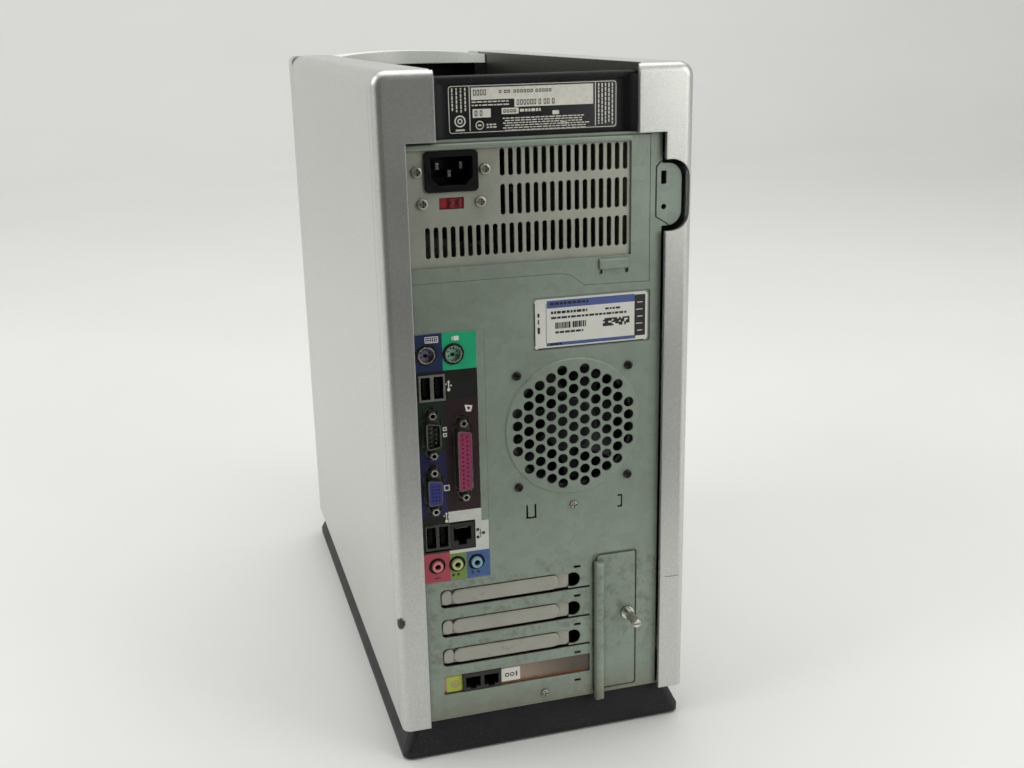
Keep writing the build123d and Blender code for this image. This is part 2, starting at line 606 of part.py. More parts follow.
def psu_bracket():
    """Swing-out plate round the power supply's rear face, with a folded top lip and a latch."""
    body = plate_y(bracket_outline(), (PANEL_BACK_Y, REAR_Y))
    body -= plate_y(rect((PSU_WINDOW_X[0], TRAY_X + 1), PSU_WINDOW_Z), (PANEL_BACK_Y - 1, REAR_Y + 1))
    lip = block((PSU_WINDOW_X[0], TRAY_X), (PANEL_BACK_Y, REAR_Y + 1.6), (PSU_WINDOW_Z[1] + 0.2, 389.2))
    body += fillet(lip.edges().filter_by(Axis.X).sort_by(Axis.Y)[-2:], 1.2)
    latch = block((-55.8, -37.4), (REAR_Y - 0.1, REAR_Y + 1.4), (311.2, 317.4))
    body += fillet(latch.edges().filter_by(Axis.X).sort_by(Axis.Y)[-1], 1.2)
    for x in (-55.8, -39.4):
        body -= plate_y(rect((x, x + 2.0), (308.2, 311.0)), (PANEL_BACK_Y - 1, REAR_Y + 1))
    return body


# ---------------------------------------------------------------- power supply
def vent_row(count, z):
    """Row of upright slots that ends at the last vent's place."""
    x_first = VENT_LAST_X + VENT_PITCH * (count - 1)
    height = z[1] - z[0]
    centre = (z[0] + z[1]) / 2
    slot = Rot(0, 0, 90) * SlotOverall(height, VENT_W)
    return [Pos(x_first - i * VENT_PITCH, centre) * slot for i in range(count)]


def psu_case():
    """Folded steel box with three rows of vents at the rear and a fan opening inside."""
    outer = block(PSU_X, PSU_Y, PSU_Z)
    inner = block(
        (PSU_X[0] + PSU_SHEET, PSU_X[1] - PSU_SHEET),
        (PSU_Y[0] + PSU_SHEET, PSU_Y[1] - PSU_SHEET),
        (PSU_Z[0] + PSU_SHEET, PSU_Z[1] - PSU_SHEET),
    )
    body = outer - inner
    rear = (PSU_Y[1] - 2, PSU_Y[1] + 1)
    cuts = vent_row(16, (369.5, 385.2)) + vent_row(16, (347.2, 364.9)) + vent_row(25, (324.4, 342.4))
    cuts += [rect((INLET_X - 13.9, INLET_X + 13.9), (INLET_Z - 10.9, INLET_Z + 10.9), 2.0)]
    cuts += [rect((SWITCH_X - 7.2, SWITCH_X + 7.2), (SWITCH_Z - 3.3, SWITCH_Z + 3.3))]
    cuts += [disc(x, z, 1.55) for x, z in psu_screw_centres()]
    for cut in cuts:
        body -= plate_y(cut, rear)
    fan_x, fan_z = (PSU_X[0] + PSU_X[1]) / 2, (PSU_Z[0] + PSU_Z[1]) / 2
    body -= rod_y(fan_x, fan_z, 37.5, (PSU_Y[0] - 1, PSU_Y[0] + 2))
    bar_y = (PSU_Y[0], PSU_Y[0] + PSU_SHEET)
    spokes = block((fan_x - 38, fan_x + 38), bar_y, (fan_z - 1, fan_z + 1))
    spokes += block((fan_x - 1, fan_x + 1), bar_y, (fan_z - 38, fan_z + 38))
    for radius in (16, 27):
        spokes += rod_y(fan_x, fan_z, radius, bar_y) - rod_y(fan_x, fan_z, radius - 2, bar_y)
    motor = rod_y(fan_x, fan_z, 13, (PSU_Y[0] + 0.5, PSU_Y[0] + 5))
    return body + spokes + motor


def psu_screw_centres():
    """Two inlet screws and two lower case screws."""
    return [(70.9, 374.0), (31.2, 374.0), (68.2, 356.0), (34.2, 355.6)]


def iec_inlet():
    """Mains inlet: black flange and a deep socket with two cut corners."""
    face_y = PSU_Y[1] + 1.9
    flange = plate_y(rect((INLET_X - 15.6, INLET_X + 15.6), (INLET_Z - 12.0, INLET_Z + 11.1), 2.5), (PSU_Y[1], face_y))
    flange = chamfer(flange.faces().sort_by(Axis.Y)[-1].edges(), 0.5)
    body = plate_y(rect((INLET_X - 13.7, INLET_X + 13.7), (INLET_Z - 10.7, INLET_Z + 10.7), 2.0), (170, PSU_Y[1]))
    half_w, low, high, cut = 12.2, INLET_Z - 8.3, INLET_Z + 8.0, 4.5
    mouth = make_face(
        Polyline(
            (INLET_X - half_w, high), (INLET_X + half_w, high), (INLET_X + half_w, low + cut),
            (INLET_X + half_w - cut, low), (INLET_X - half_w + cut, low), (INLET_X - half_w, low + cut),
            close=True,
        )
    )
    body = flange + body - plate_y(mouth, (face_y - 17.0, face_y + 1))
    for dx, dz in ((-7, 2.2), (7, 2.2), (0, -2.2)):
        body -= block(
            (INLET_X + dx - 1.0, INLET_X + dx + 1.0), (169, 180), (INLET_Z + dz - 2.0, INLET_Z + dz + 2.0)
        )
    return body


def iec_pins():
    """Three flat contact pins inside the inlet, running on as solder tags."""
    face_y = PSU_Y[1] + 1.9
    return group(
        block((INLET_X + dx - 0.9, INLET_X + dx + 0.9), (166, face_y - 7.0), (INLET_Z + dz - 2.0, INLET_Z + dz + 2.0))
        for dx, dz in ((-7, 2.2), (7, 2.2), (0, -2.2))
    )


def voltage_switch_body():
    """Housing behind the voltage window, open where the slider runs."""
    y = (183, PSU_Y[1] - PSU_SHEET - 0.1)
    body = block((SWITCH_X - 13, SWITCH_X + 13), y, (SWITCH_Z - 4.6, SWITCH_Z + 4.6))
    return body - block((SWITCH_X - 12, SWITCH_X + 12), (185.5, y[1] + 1), (SWITCH_Z - 3.2, SWITCH_Z + 3.2))


def voltage_slider():
    """Red selector behind the window, with a raised grip."""
    plate = block((SWITCH_X - 9.4, SWITCH_X + 6.6), (186, 190.4), (SWITCH_Z - 3.0, SWITCH_Z + 3.0))
    grip = block((SWITCH_X - 6.2, SWITCH_X + 1.2), (190.3, 191.5), (SWITCH_Z - 2.6, SWITCH_Z + 2.6))
    grip -= block((SWITCH_X - 4.0, SWITCH_X - 1.0), (191.0, 192), (SWITCH_Z - 3, SWITCH_Z + 3))
    return plate + grip


# ---------------------------------------------------------------- fans
def rotor(radius, hub_r, depth, blades=7):
    """Fan rotor about +Z with its open hub at z = 0: cup, shaft and twisted blades."""
    cup = Pos(0, 0, depth / 2) * Cylinder(hub_r, depth)
    cup = fillet(cup.edges().sort_by(Axis.Z)[-1], 1.5)
    ring = Pos(0, 0, depth / 2) * (Cylinder(radius, depth) - Cylinder(hub_r - 0.5, depth))
    blade_w = depth * 1.5
    for i in range(blades):
        turn = 360 / blades * i
        blade = Pos((radius + hub_r) / 2, 0, depth / 2) * Rot(52, 0, 0) * Box(radius - hub_r + 8, 1.4, blade_w)
        cup += (Rot(0, 0, turn) * blade) & ring
    return cup


def fan_frame(size, depth, spacing, bore_r, motor_r):
    """Square fan frame about +Z, with a motor plate on four arms at z = 0."""
    body = Pos(0, 0, depth / 2) * Box(size, size, depth)
    body = fillet(body.edges().filter_by(Axis.Z), 4.0)
    body -= Pos(0, 0, depth / 2) * Cylinder(bore_r, depth + 2)
    waist = Pos(0, 0, depth / 2) * (Box(size + 2, size + 2, depth - 8) - Cylinder(bore_r + 1.6, depth - 8))
    corner = spacing / 2 - 5
    for sx in (-1, 1):
        for sy in (-1, 1):
            waist -= Pos(sx * (corner + 6), sy * (corner + 6), depth / 2) * Box(13, 13, depth)
    body -= waist
    for sx in (-1, 1):
        for sy in (-1, 1):
            body -= Pos(sx * spacing / 2, sy * spacing / 2, depth / 2) * Cylinder(2.2, depth + 2)
    arms = Pos(0, 0, 1.25) * Box(2 * bore_r + 2, 3, 2.5) + Pos(0, 0, 1.25) * Box(3, 2 * bore_r + 2, 2.5)
    return body + arms + Pos(0, 0, 1.5) * Cylinder(motor_r, 3)


def case_fan_place():
    """Puts a fan made about +Z behind the rear panel, blowing out."""
    return Pos(FAN_X, PANEL_BACK_Y - FAN_DEPTH - 0.2, FAN_Z) * Rot(-90, 0, 0)


def cpu_fan_place():
    """Puts a fan made about +Z on the heatsink's outer face."""
    return Pos(35.8, CPU_Y, CPU_Z) * Rot(0, -90, 0)


# ---------------------------------------------------------------- board and cards
def motherboard():
    """Circuit board with a few fixed components."""
    board = block(BOARD_X, BOARD_Y, BOARD_Z)
    face = BOARD_X[0] + 0.1
    chips = [
        block((face - 2.5, face), (28, 56), (120, 148)),
        block((face - 8, face), (28, 52), (158, 182)),
        block((face - 9, face), (-50, -42), (120, 175)),
        block((face - 10, face), (-50, -40), (190, 242)),
        rod_x(-20, 80, 10, (face - 4, face)),
    ]
    caps = [rod_x(62, 190 + 12 * i, 4, (face - 12, face)) for i in range(6)]
    return board + chips + caps


def standoffs():
    """Brass standoffs between the tray and the board."""
    return group(
        rod_x(y, z, 3.0, (BOARD_X[1], TRAY_X)) for y in (-40, 65, 170) for z in (52, 165, 275)
    )


def processor():
    """Processor package in its socket."""
    return block((73.6, BOARD_X[0]), (CPU_Y - 24, CPU_Y + 24), (CPU_Z - 24, CPU_Z + 24))


def heatsink():
    """Base plate with parallel fins."""
    base = block((68.0, 73.5), (CPU_Y - 35, CPU_Y + 35), (CPU_Z - 35, CPU_Z + 35))
    fins = [
        block((36.0, 68.1), (CPU_Y - 35, CPU_Y + 35), (CPU_Z + z - 0.6, CPU_Z + z + 0.6)) for z in range(-34, 35, 4)
    ]
    return base + fins


def board_sockets():
    """Card sockets in line with the slots, and two memory sockets."""
    x = (66.0, BOARD_X[0])
    cards = [block(x, (45, 130), (z - 4.5, z + 4.0)) for z in slot_centres()]
    cards = [card - block((65, 74), (46, 129), (z - 1.0, z + 1.0)) for card, z in zip(cards, slot_centres())]
    memory = []
    for y in (8, 20):
        socket = block((69.0, BOARD_X[0]), (y - 3.2, y + 3.2), (146, 284))
        memory.append(socket - block((68, 75), (y - 0.8, y + 0.8), (148.4, 281.6)))
    return group(cards + memory)


def memory_modules():
    """Two memory modules standing in their sockets."""
    modules = []
    for y in (8, 20):
        board = block((46.0, 74.9), (y - 0.65, y + 0.65), (148.6, 281.4))
        chips = [block((54, 66), (y + 0.6, y + 1.8), (155 + 16 * i, 165 + 16 * i)) for i in range(8)]
        modules.append(board + chips)
    return group(modules)


def slot_plate(z):
    """Blanking plate of one slot, with a rounded rib standing out through the opening."""
    return block((SLOT_X[0] - 0.2, 69.5), (PANEL_BACK_Y - 1.1, PANEL_BACK_Y - 0.1), (z - 5.2, z + 9.1))


def slot_covers():
    """Three blanking plates."""
    covers = []
    for z in slot_centres()[:3]:
        rib = plate_y(rect((-9.9, 60.4), (z - 4.8, z + 4.8), 4.2), (PANEL_BACK_Y - 0.6, REAR_Y + 0.9))
        rib = fillet(rib.faces().sort_by(Axis.Y)[-1].edges(), 0.9)
        bead = plate_y(rect((60.0, 66.9), (z - 4.8, z + 4.8), 3.2), (PANEL_BACK_Y - 0.6, REAR_Y + 0.4))
        bead = fillet(bead.faces().sort_by(Axis.Y)[-1].edges(), 0.8)
        covers.append(slot_plate(z) + rib + bead)
    return group(covers)


def modem_card():
    """Modem card: bracket, board and a few parts on it."""
    z = MODEM_Z
    bracket = block((SLOT_END_X - 0.3, 69.5), (PANEL_BACK_Y - 1.1, PANEL_BACK_Y - 0.1), (z - 9.1, z + 9.1))
    bracket -= plate_y(rect((29.2, 55.2), (z - 6.0, z + 6.4)), (PANEL_BACK_Y - 2, PANEL_BACK_Y + 1))
    board_z = (z - 8.6, z - 7.0)
    board = block((2.0, 73.8), (66, PANEL_BACK_Y - 0.5), board_z)
    fingers = block((65.7, 73.8), (48, 127), (z - 0.8, z + 0.8))
    web = block((60.0, 65.8), (66, 127), (z - 8.6, z + 0.8))
    chips = [block((20 + 22 * i, 34 + 22 * i), (90, 110), (z - 7.1, z - 4.8)) for i in range(2)]
    return bracket + board + web + fingers + chips


def phone_jacks():
    """Pair of telephone sockets in one black body."""
    z = MODEM_Z
    body = block((29.6, 54.8), (174, REAR_Y + 0.4), (z - 5.7, z + 6.1))
    for x in (36.2, 48.2):
        body -= block((x - 4.8, x + 4.8), (181, REAR_Y + 1), (z - 3.6, z + 3.4))
        body -= block((x - 2.0, x + 2.0), (181, REAR_Y + 1), (z - 5.0, z - 3.5))
    return body


# ---------------------------------------------------------------- rear connectors
PS2_CENTRES = ((70.1, 268.2), (53.8, 267.6))
AUDIO_CENTRES = ((68.6, 133.6), (56.0, 133.3), (43.6, 133.0))
USB_A = ((59.6, 75.4), (239.8, 255.9))
USB_B = ((60.0, 75.4), (144.4, 161.0))
LAN = ((44.0, 59.7), (143.0, 160.0))
SERIAL_AT = (68.6, 219.4, 30.8)
VIDEO_AT = (68.8, 183.6, 30.8)
PARALLEL_AT = (49.9, 201.8, 53.0)
DSUB_FLANGE_W = 12.4
DSUB_CUT_W = 11.6
DSUB_SCREW_INSET = 5.9


def io_cutouts():
    """Openings in the I/O plate, one for each connector."""
    cuts = [disc(x, z, 6.5) for x, z in PS2_CENTRES]
    cuts += [disc(x, z, 5.3) for x, z in AUDIO_CENTRES]
    cuts.append(rect((USB_A[0][0] - 0.2, USB_A[0][1] + 0.2), (USB_A[1][0] - 0.2, USB_A[1][1] + 0.2)))
    cuts.append(rect((LAN[0][0] - 0.3, USB_B[0][1] + 0.3), (LAN[1][0] - 0.4, USB_B[1][1] + 0.3), 0.5))
    for x, z, length in (SERIAL_AT, VIDEO_AT, PARALLEL_AT):
        spacing = length - DSUB_SCREW_INSET
        half_l = spacing / 2 - 2.6
        cuts.append(rect((x - DSUB_CUT_W / 2, x + DSUB_CUT_W / 2), (z - half_l, z + half_l), 1.2))
        for side in (-1, 1):
            cuts.append(disc(x, z + side * spacing / 2, 4.2))
    return cuts


def io_plate():
    """Pressed plate that frames the rear connectors."""
    outline = rect((IO_X[0] + 0.1, IO_X[1] - 0.1), (IO_Z[0] + 0.1, IO_Z[1] - 0.1), 1.0)
    for cut in io_cutouts():
        outline -= cut
    return plate_y(outline, (PANEL_BACK_Y, REAR_Y))


def io_label():
    """Thin colour-coded sheet over the I/O plate."""
    outline = rect((39.7, 77.4), (160.0, 280.8))
    outline += rect((35.2, 77.4), (122.7, 160.1))
    for cut in io_cutouts():
        outline -= cut
    return plate_y(outline, (REAR_Y + 0.02, REAR_Y + 0.17))


def ps2_ports():
    """Two round mini-DIN sockets."""
    ports = []
    for x, z in PS2_CENTRES:
        barrel = rod_y(x, z, 6.3, (REAR_Y - 4, REAR_Y + 0.9))
        barrel += block((x - 7, min(x + 7, BOARD_X[0])), (176, REAR_Y - 1.4), (z - 6.5, z + 6.5))
        barrel -= rod_y(x, z, 4.7, (REAR_Y - 9, REAR_Y + 2))
        barrel += rod_y(x, z, 3.9, (REAR_Y - 9.5, REAR_Y - 4.5))
        ports.append(barrel)
    return group(ports)


def usb_stack(x, z):
    """Metal shell with two upright sockets and their tongues."""
    body = block((x[0], min(x[1], BOARD_X[0])), (176, REAR_Y + 0.7), z)
    mid_z = (z[0] + z[1]) / 2
    quarter = (x[1] - x[0]) / 4
    for centre in (x[0] + quarter, x[1] - quarter):
        body -= block((centre - 2.9, centre + 2.9), (183, REAR_Y + 2), (mid_z - 6.9, mid_z + 6.9))
        body += block((centre - 1.2, centre + 0.7), (182.5, REAR_Y - 2.4), (mid_z - 5.6, mid_z + 5.6))
    return body


def usb_ports():
    """Two stacks of two upright USB sockets."""
    return group([usb_stack(*USB_A), usb_stack(*USB_B)])


def dsub_outline(width, length):
    """D-shaped outline about the origin: long side towards +X, length along the second axis."""
    slope = width * math.tan(math.radians(10))
    half_l, half_w = length / 2, width / 2
    outline = make_face(
        Polyline((half_w, -half_l), (half_w, half_l), (-half_w, half_l - slope), (-half_w, -half_l + slope), close=True)
    )
    return fillet(outline.vertices(), 1.6)


def dsub(at, shell_length, insert_proud, spacing):
    """D-subminiature connector standing upright: flange behind the plate, shell, insert, jackscrews and body."""
    x, z, length = at
    half_w = DSUB_FLANGE_W / 2
    back = PANEL_BACK_Y - 0.1
    face = REAR_Y + 0.3
    flange = rect((x - half_w, x + half_w), (z - length / 2, z + length / 2), 1.0)
    body = plate_y(flange, (back - 1.0, back))
    ring = Pos(x, z) * dsub_outline(8.6, shell_length)
    body += plate_y(ring, (back - 0.1, face + 5.6))
    inside = Pos(x, z) * dsub_outline(7.6, shell_length - 1.0)
    body -= plate_y(inside, (face + insert_proud, face + 6))
    body += block((x - 5.5, min(x + 5.5, BOARD_X[0])), (176, back - 0.9), (z - length / 2 + 8, z + length / 2 - 8))
    for side in (-1, 1):
        hexagon = Pos(x, z + side * spacing / 2) * RegularPolygon(2.75, 6)
        body += plate_y(hexagon, (back - 0.1, face + 4.6))
        body -= rod_y(x, z + side * spacing / 2, 1.4, (face, face + 5))
    return body


def network_port():
    """RJ45 socket."""
    (x0, x1), (z0, z1) = LAN
    body = block((x0, x1), (170, REAR_Y - 0.4), (z0, z1))
    mid = (x0 + x1) / 2
    body -= block((mid - 5.9, mid + 5.9), (178, REAR_Y + 2), (z0 + 5.0, z1 - 2.4))
    body -= block((mid - 3.0, mid + 3.0), (178, REAR_Y + 2), (z0 + 2.0, z0 + 5.1))
    return body


def audio_jacks():
    """Three round audio sockets."""
    jacks = []
    for x, z in AUDIO_CENTRES:
        jack = rod_y(x, z, 3.4, (REAR_Y - 4, REAR_Y + 2.4))
        jack += block((x - 5.2, x + 5.2), (176, REAR_Y - 1.5), (z - 5.5, z + 5.5))
        jacks.append(jack - rod_y(x, z, 1.9, (180, REAR_Y + 3)))
    return group(jacks)


# ---------------------------------------------------------------- labels, screws, slot clamp
def rear_labels():
    """Rating label on the top cap and serial label in the pressed recess."""
    rating = plate_y(rect((-50.2, 51.0), (393.4, 420.6), 2.0), (REAR_CAP_Y + 0.02, REAR_CAP_Y + 0.17))
    serial_y = REAR_Y - 0.8
    serial = plate_y(rect((-68.8, 3.4), (265.4, 295.2), 1.0), (serial_y + 0.02, serial_y + 0.17))
    return group([rating, serial])


def screw(x, z, face_y, head_r, shank_r, length):
    """Pan head screw with a cross recess, its head outwards along +Y."""
    head = rod_y(x, z, head_r, (face_y, face_y + 1.9))
    head = fillet(head.edges().sort_by(Axis.Y)[-1], 1.1)
    head += rod_y(x, z, shank_r, (face_y - length, face_y + 0.5))
    for w, h in ((0.5, 1.9), (1.9, 0.5)):
        head -= block((x - w, x + w), (face_y + 0.9, face_y + 3), (z - h, z + h))
    return head


def rear_screws():
    """Power supply screws, fan screws and two small panel screws."""
    screws = [screw(x, z, PSU_Y[1] + 0.02, 3.1, 1.5, 3.0) for x, z in psu_screw_centres()]
    screws += [screw(x, z, REAR_Y + 0.02, 2.6, 2.0, 8.0) for x, z in fan_corners()]
    screws += [screw(x, z, REAR_Y + 0.02, 2.3, 1.5, 5.0) for x, z in ((FAN_X + 0.2, 162.6), (0.5, 33.1))]
    return group(screws)


CLAMP_Y = REAR_Y - 0.7
THUMBSCREW_AT = (-56.4, 82.5)


def slot_clamp():
    """Plate with a half-round bar that holds the card brackets."""
    plate = plate_y(rect((-61.8, -36.0), (30.0, 125.0), 2.0), (CLAMP_Y, CLAMP_Y + SHEET))
    bar = block((-39.6, -33.8), (REAR_Y + 0.1, REAR_Y + 5.6), (22.8, 121.5))
    bar = fillet(bar.faces().sort_by(Axis.Y)[-1].edges(), 2.6)
    body = plate + bar
    return body - rod_y(THUMBSCREW_AT[0], THUMBSCREW_AT[1], 2.05, (CLAMP_Y - 1, CLAMP_Y + 3))


def thumbscrew():
    """Captive thumbscrew: collar, fluted head and a slotted tip."""
    x, z = THUMBSCREW_AT
    front = CLAMP_Y + SHEET + 0.3
    body = rod_y(x, z, 2.0, (REAR_Y + 0.1, front + 1))
    body += rod_y(x, z, 4.2, (front, front + 1.6))
    body += rod_y(x, z, 2.1, (front + 1.5, front + 5.0))
    head = rod_y(x, z, 2.9, (front + 4.9, SCREW_TIP_Y))
    head = chamfer(head.edges().sort_by(Axis.Y)[-1], 0.6)
    for i in range(12):
        angle = math.radians(30 * i)
        head -= rod_y(x + 3.1 * math.cos(angle), z + 3.1 * math.sin(angle), 0.45, (front + 6.0, SCREW_TIP_Y + 1))
    head -= block((x - 4, x + 4), (SCREW_TIP_Y - 1.4, SCREW_TIP_Y + 1), (z - 0.6, z + 0.6))
    return body + head


def drive_power_lead():
    """Power lead from the supply to the optical drive, with its connector."""
    route = [(-45, PSU_Y[0] - 0.1, 335), (-45, 30, 335), (-56, 10, 354), (-56, -4.0, 354)]
    path = FilletPolyline(*route, radius=12)
    lead = sweep(Plane(origin=path @ 0, z_dir=path % 0) * Circle(3.0), path)
    return lead + block((-67, -45), (-4.8, 3.5), (350.5, 357.5))


# ---------------------------------------------------------------- write every node
fan_rotor = rotor(36.8, 17.0, 19.0)
small_rotor = rotor(31.0, 14.0, 10.0)
psu_fan_at = Pos((PSU_X[0] + PSU_X[1]) / 2, PSU_Y[0] + 5.6, (PSU_Z[0] + PSU_Z[1]) / 2) * Rot(-90, 0, 0)

nodes = {
    "base_stand": base_stand(),
    "rubber_feet": group(foot_solids()),
    "chassis_floor": chassis_floor(),
    "chassis_top": chassis_top(),
    "chassis_rear_panel": rear_panel(),
    "chassis_front_wall": front_wall(),
    "motherboard_tray": motherboard_tray(),
    "psu_bracket": psu_bracket(),
    "drive_cage": drive_cage(),
    "side_shell": shell(1),
    "access_cover": shell(-1),
    "top_cover": top_cover(),
    "front_bezel": front_bezel(),
    "bezel_rim": bezel_rim(),
    "centre_panel": centre_panel(),
    "bay_blank": bay_blank(),
    "power_button": power_button(),
    "status_lights": status_lights(),
    "port_door": port_door(),
    "front_ports": front_ports(),
    "optical_drive": optical_drive(),
    "optical_front": optical_front(),
    "optical_tray": optical_tray(),
    "optical_eject_button": optical_eject_button(),
    "floppy_drive": floppy_drive(),
    "floppy_eject_button": floppy_eject_button(),
    "hard_drive": hard_drive(),
    "psu_case": psu_case(),
    "psu_fan_rotor": psu_fan_at * rotor(35.5, 15.0, 16.0),
    "iec_inlet": iec_inlet(),
    "iec_pins": iec_pins(),
    "voltage_switch_body": voltage_switch_body(),
    "voltage_slider": voltage_slider(),
    "case_fan_frame": case_fan_place() * fan_frame(FAN_SIZE, FAN_DEPTH, FAN_HOLE_SPACING, 38.0, 16.0),
    "case_fan_rotor": case_fan_place() * Pos(0, 0, 3.4) * fan_rotor,
    "motherboard": motherboard(),
    "board_standoffs": standoffs(),
    "processor": processor(),
    "heatsink": heatsink(),
    "cpu_fan_frame": cpu_fan_place() * fan_frame(70.0, 15.0, 61.5, 32.0, 13.0),
    "cpu_fan_rotor": cpu_fan_place() * Pos(0, 0, 3.4) * small_rotor,
    "board_sockets": board_sockets(),
    "memory_modules": memory_modules(),
    "modem_card": modem_card(),
    "phone_jacks": phone_jacks(),
    "slot_covers": slot_covers(),
    "slot_clamp": slot_clamp(),
    "thumbscrew": thumbscrew(),
    "io_plate": io_plate(),
    "io_label": io_label(),
    "ps2_ports": ps2_ports(),
    "usb_ports": usb_ports(),
    "serial_port": dsub(SERIAL_AT, 17.0, 0.6, 24.99),
    "parallel_port": dsub(PARALLEL_AT, 39.0, 5.2, 47.04),
    "video_port": dsub(VIDEO_AT, 17.0, 5.2, 24.99),
    "network_port": network_port(),
    "audio_jacks": audio_jacks(),
    "rear_labels": rear_labels(),
    "rear_screws": rear_screws(),
    "drive_power_lead": drive_power_lead(),
}

os.makedirs("parts", exist_ok=True)
for name, shape in nodes.items():
    export_step(shape, f"parts/{name}.step")
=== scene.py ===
import math
import random

import bmesh
import bpy
from mathutils import Matrix, Vector


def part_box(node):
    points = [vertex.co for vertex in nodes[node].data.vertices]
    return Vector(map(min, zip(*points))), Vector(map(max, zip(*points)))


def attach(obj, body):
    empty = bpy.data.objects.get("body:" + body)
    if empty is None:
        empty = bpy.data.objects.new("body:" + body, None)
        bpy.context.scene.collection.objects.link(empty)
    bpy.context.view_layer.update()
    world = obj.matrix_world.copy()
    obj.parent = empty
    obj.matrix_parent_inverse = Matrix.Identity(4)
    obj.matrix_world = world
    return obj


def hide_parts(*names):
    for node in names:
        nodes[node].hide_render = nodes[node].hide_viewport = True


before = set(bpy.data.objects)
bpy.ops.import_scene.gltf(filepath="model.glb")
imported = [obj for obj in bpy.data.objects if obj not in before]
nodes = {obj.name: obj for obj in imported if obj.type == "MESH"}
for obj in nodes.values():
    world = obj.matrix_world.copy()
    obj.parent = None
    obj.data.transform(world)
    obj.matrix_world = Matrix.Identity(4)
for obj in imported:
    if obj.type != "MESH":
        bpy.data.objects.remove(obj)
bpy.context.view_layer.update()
rng = random.Random(11)

MM = 0.001

# ---------------------------------------------------------------- node helpers


def add(tree, kind, inputs=None, **props):
    """Adds a shader node; an input value may be a socket to link or a constant."""
    node = tree.nodes.new(kind)
    for key, value in props.items():
        setattr(node, key, value)
    for key, value in (inputs or {}).items():
        if isinstance(value, bpy.types.NodeSocket):
            tree.links.new(value, node.inputs[key])
        elif isinstance(value, tuple) and len(value) == 3 and node.inputs[key].type == "RGBA":
            node.inputs[key].default_value = (*value, 1.0)
        else:
            node.inputs[key].default_value = value
    return node


def noise(tree, where, size, detail=4.0, rough=0.55, stretch=(1, 1, 1)):
    """Noise from 0 to 1 with features of the given size in metres, drawn out by stretch."""
    scale = tuple(1 / s for s in stretch)
    mapped = add(tree, "ShaderNodeMapping", {"Vector": where, "Scale": scale})
    made = add(tree, "ShaderNodeTexNoise", {
        "Vector": mapped.outputs[0], "Scale": 1 / size, "Detail": detail, "Roughness": rough})
    return made.outputs["Fac"]


def ramp(tree, value, low, high, to_low=0.0, to_high=1.0):
    """Clamped linear map of a value."""
    return add(tree, "ShaderNodeMapRange", {
        "Value": value, "From Min": low, "From Max": high, "To Min": to_low, "To Max": to_high}).outputs[0]


def calc(tree, operation, a, b=0.0):
    return add(tree, "ShaderNodeMath", {0: a, 1: b}, operation=operation).outputs[0]


def mix(tree, factor, a, b, blend="MIX"):
    """Colour mix of two colours or sockets."""
    node = tree.nodes.new("ShaderNodeMix")
    node.data_type = "RGBA"
    node.blend_type = blend
    for index, value in ((0, factor), (6, a), (7, b)):
        if isinstance(value, bpy.types.NodeSocket):
            tree.links.new(value, node.inputs[index])
        elif isinstance(value, tuple):
            node.inputs[index].default_value = (*value, 1.0)
        else:
            node.inputs[index].default_value = value
    return node.outputs[2]


def shaded(tree, base, level):
    """The base colour multiplied by a grey level."""
    grey = add(tree, "ShaderNodeCombineColor", {0: level, 1: level, 2: level}).outputs[0]
    return mix(tree, 1.0, base, grey, "MULTIPLY")


def tint(colour, factor):
    return tuple(min(1.0, c * factor) for c in colour)


def bands(tree, value, stops):
    """Hard-edged colour bands along a value in metres; stops are (start, colour) in order."""
    low, high = stops[0][0], stops[-1][0] + 0.05
    at = ramp(tree, value, low, high)
    node = tree.nodes.new("ShaderNodeValToRGB")
    node.color_ramp.interpolation = "CONSTANT"
    tree.links.new(at, node.inputs[0])
    elements = node.color_ramp.elements
    while len(elements) < len(stops):
        elements.new(0.5)
    for element, (start, colour) in zip(elements, stops):
        element.position = (start - low) / (high - low)
        element.color = (*colour, 1.0)
    return node.outputs[0]


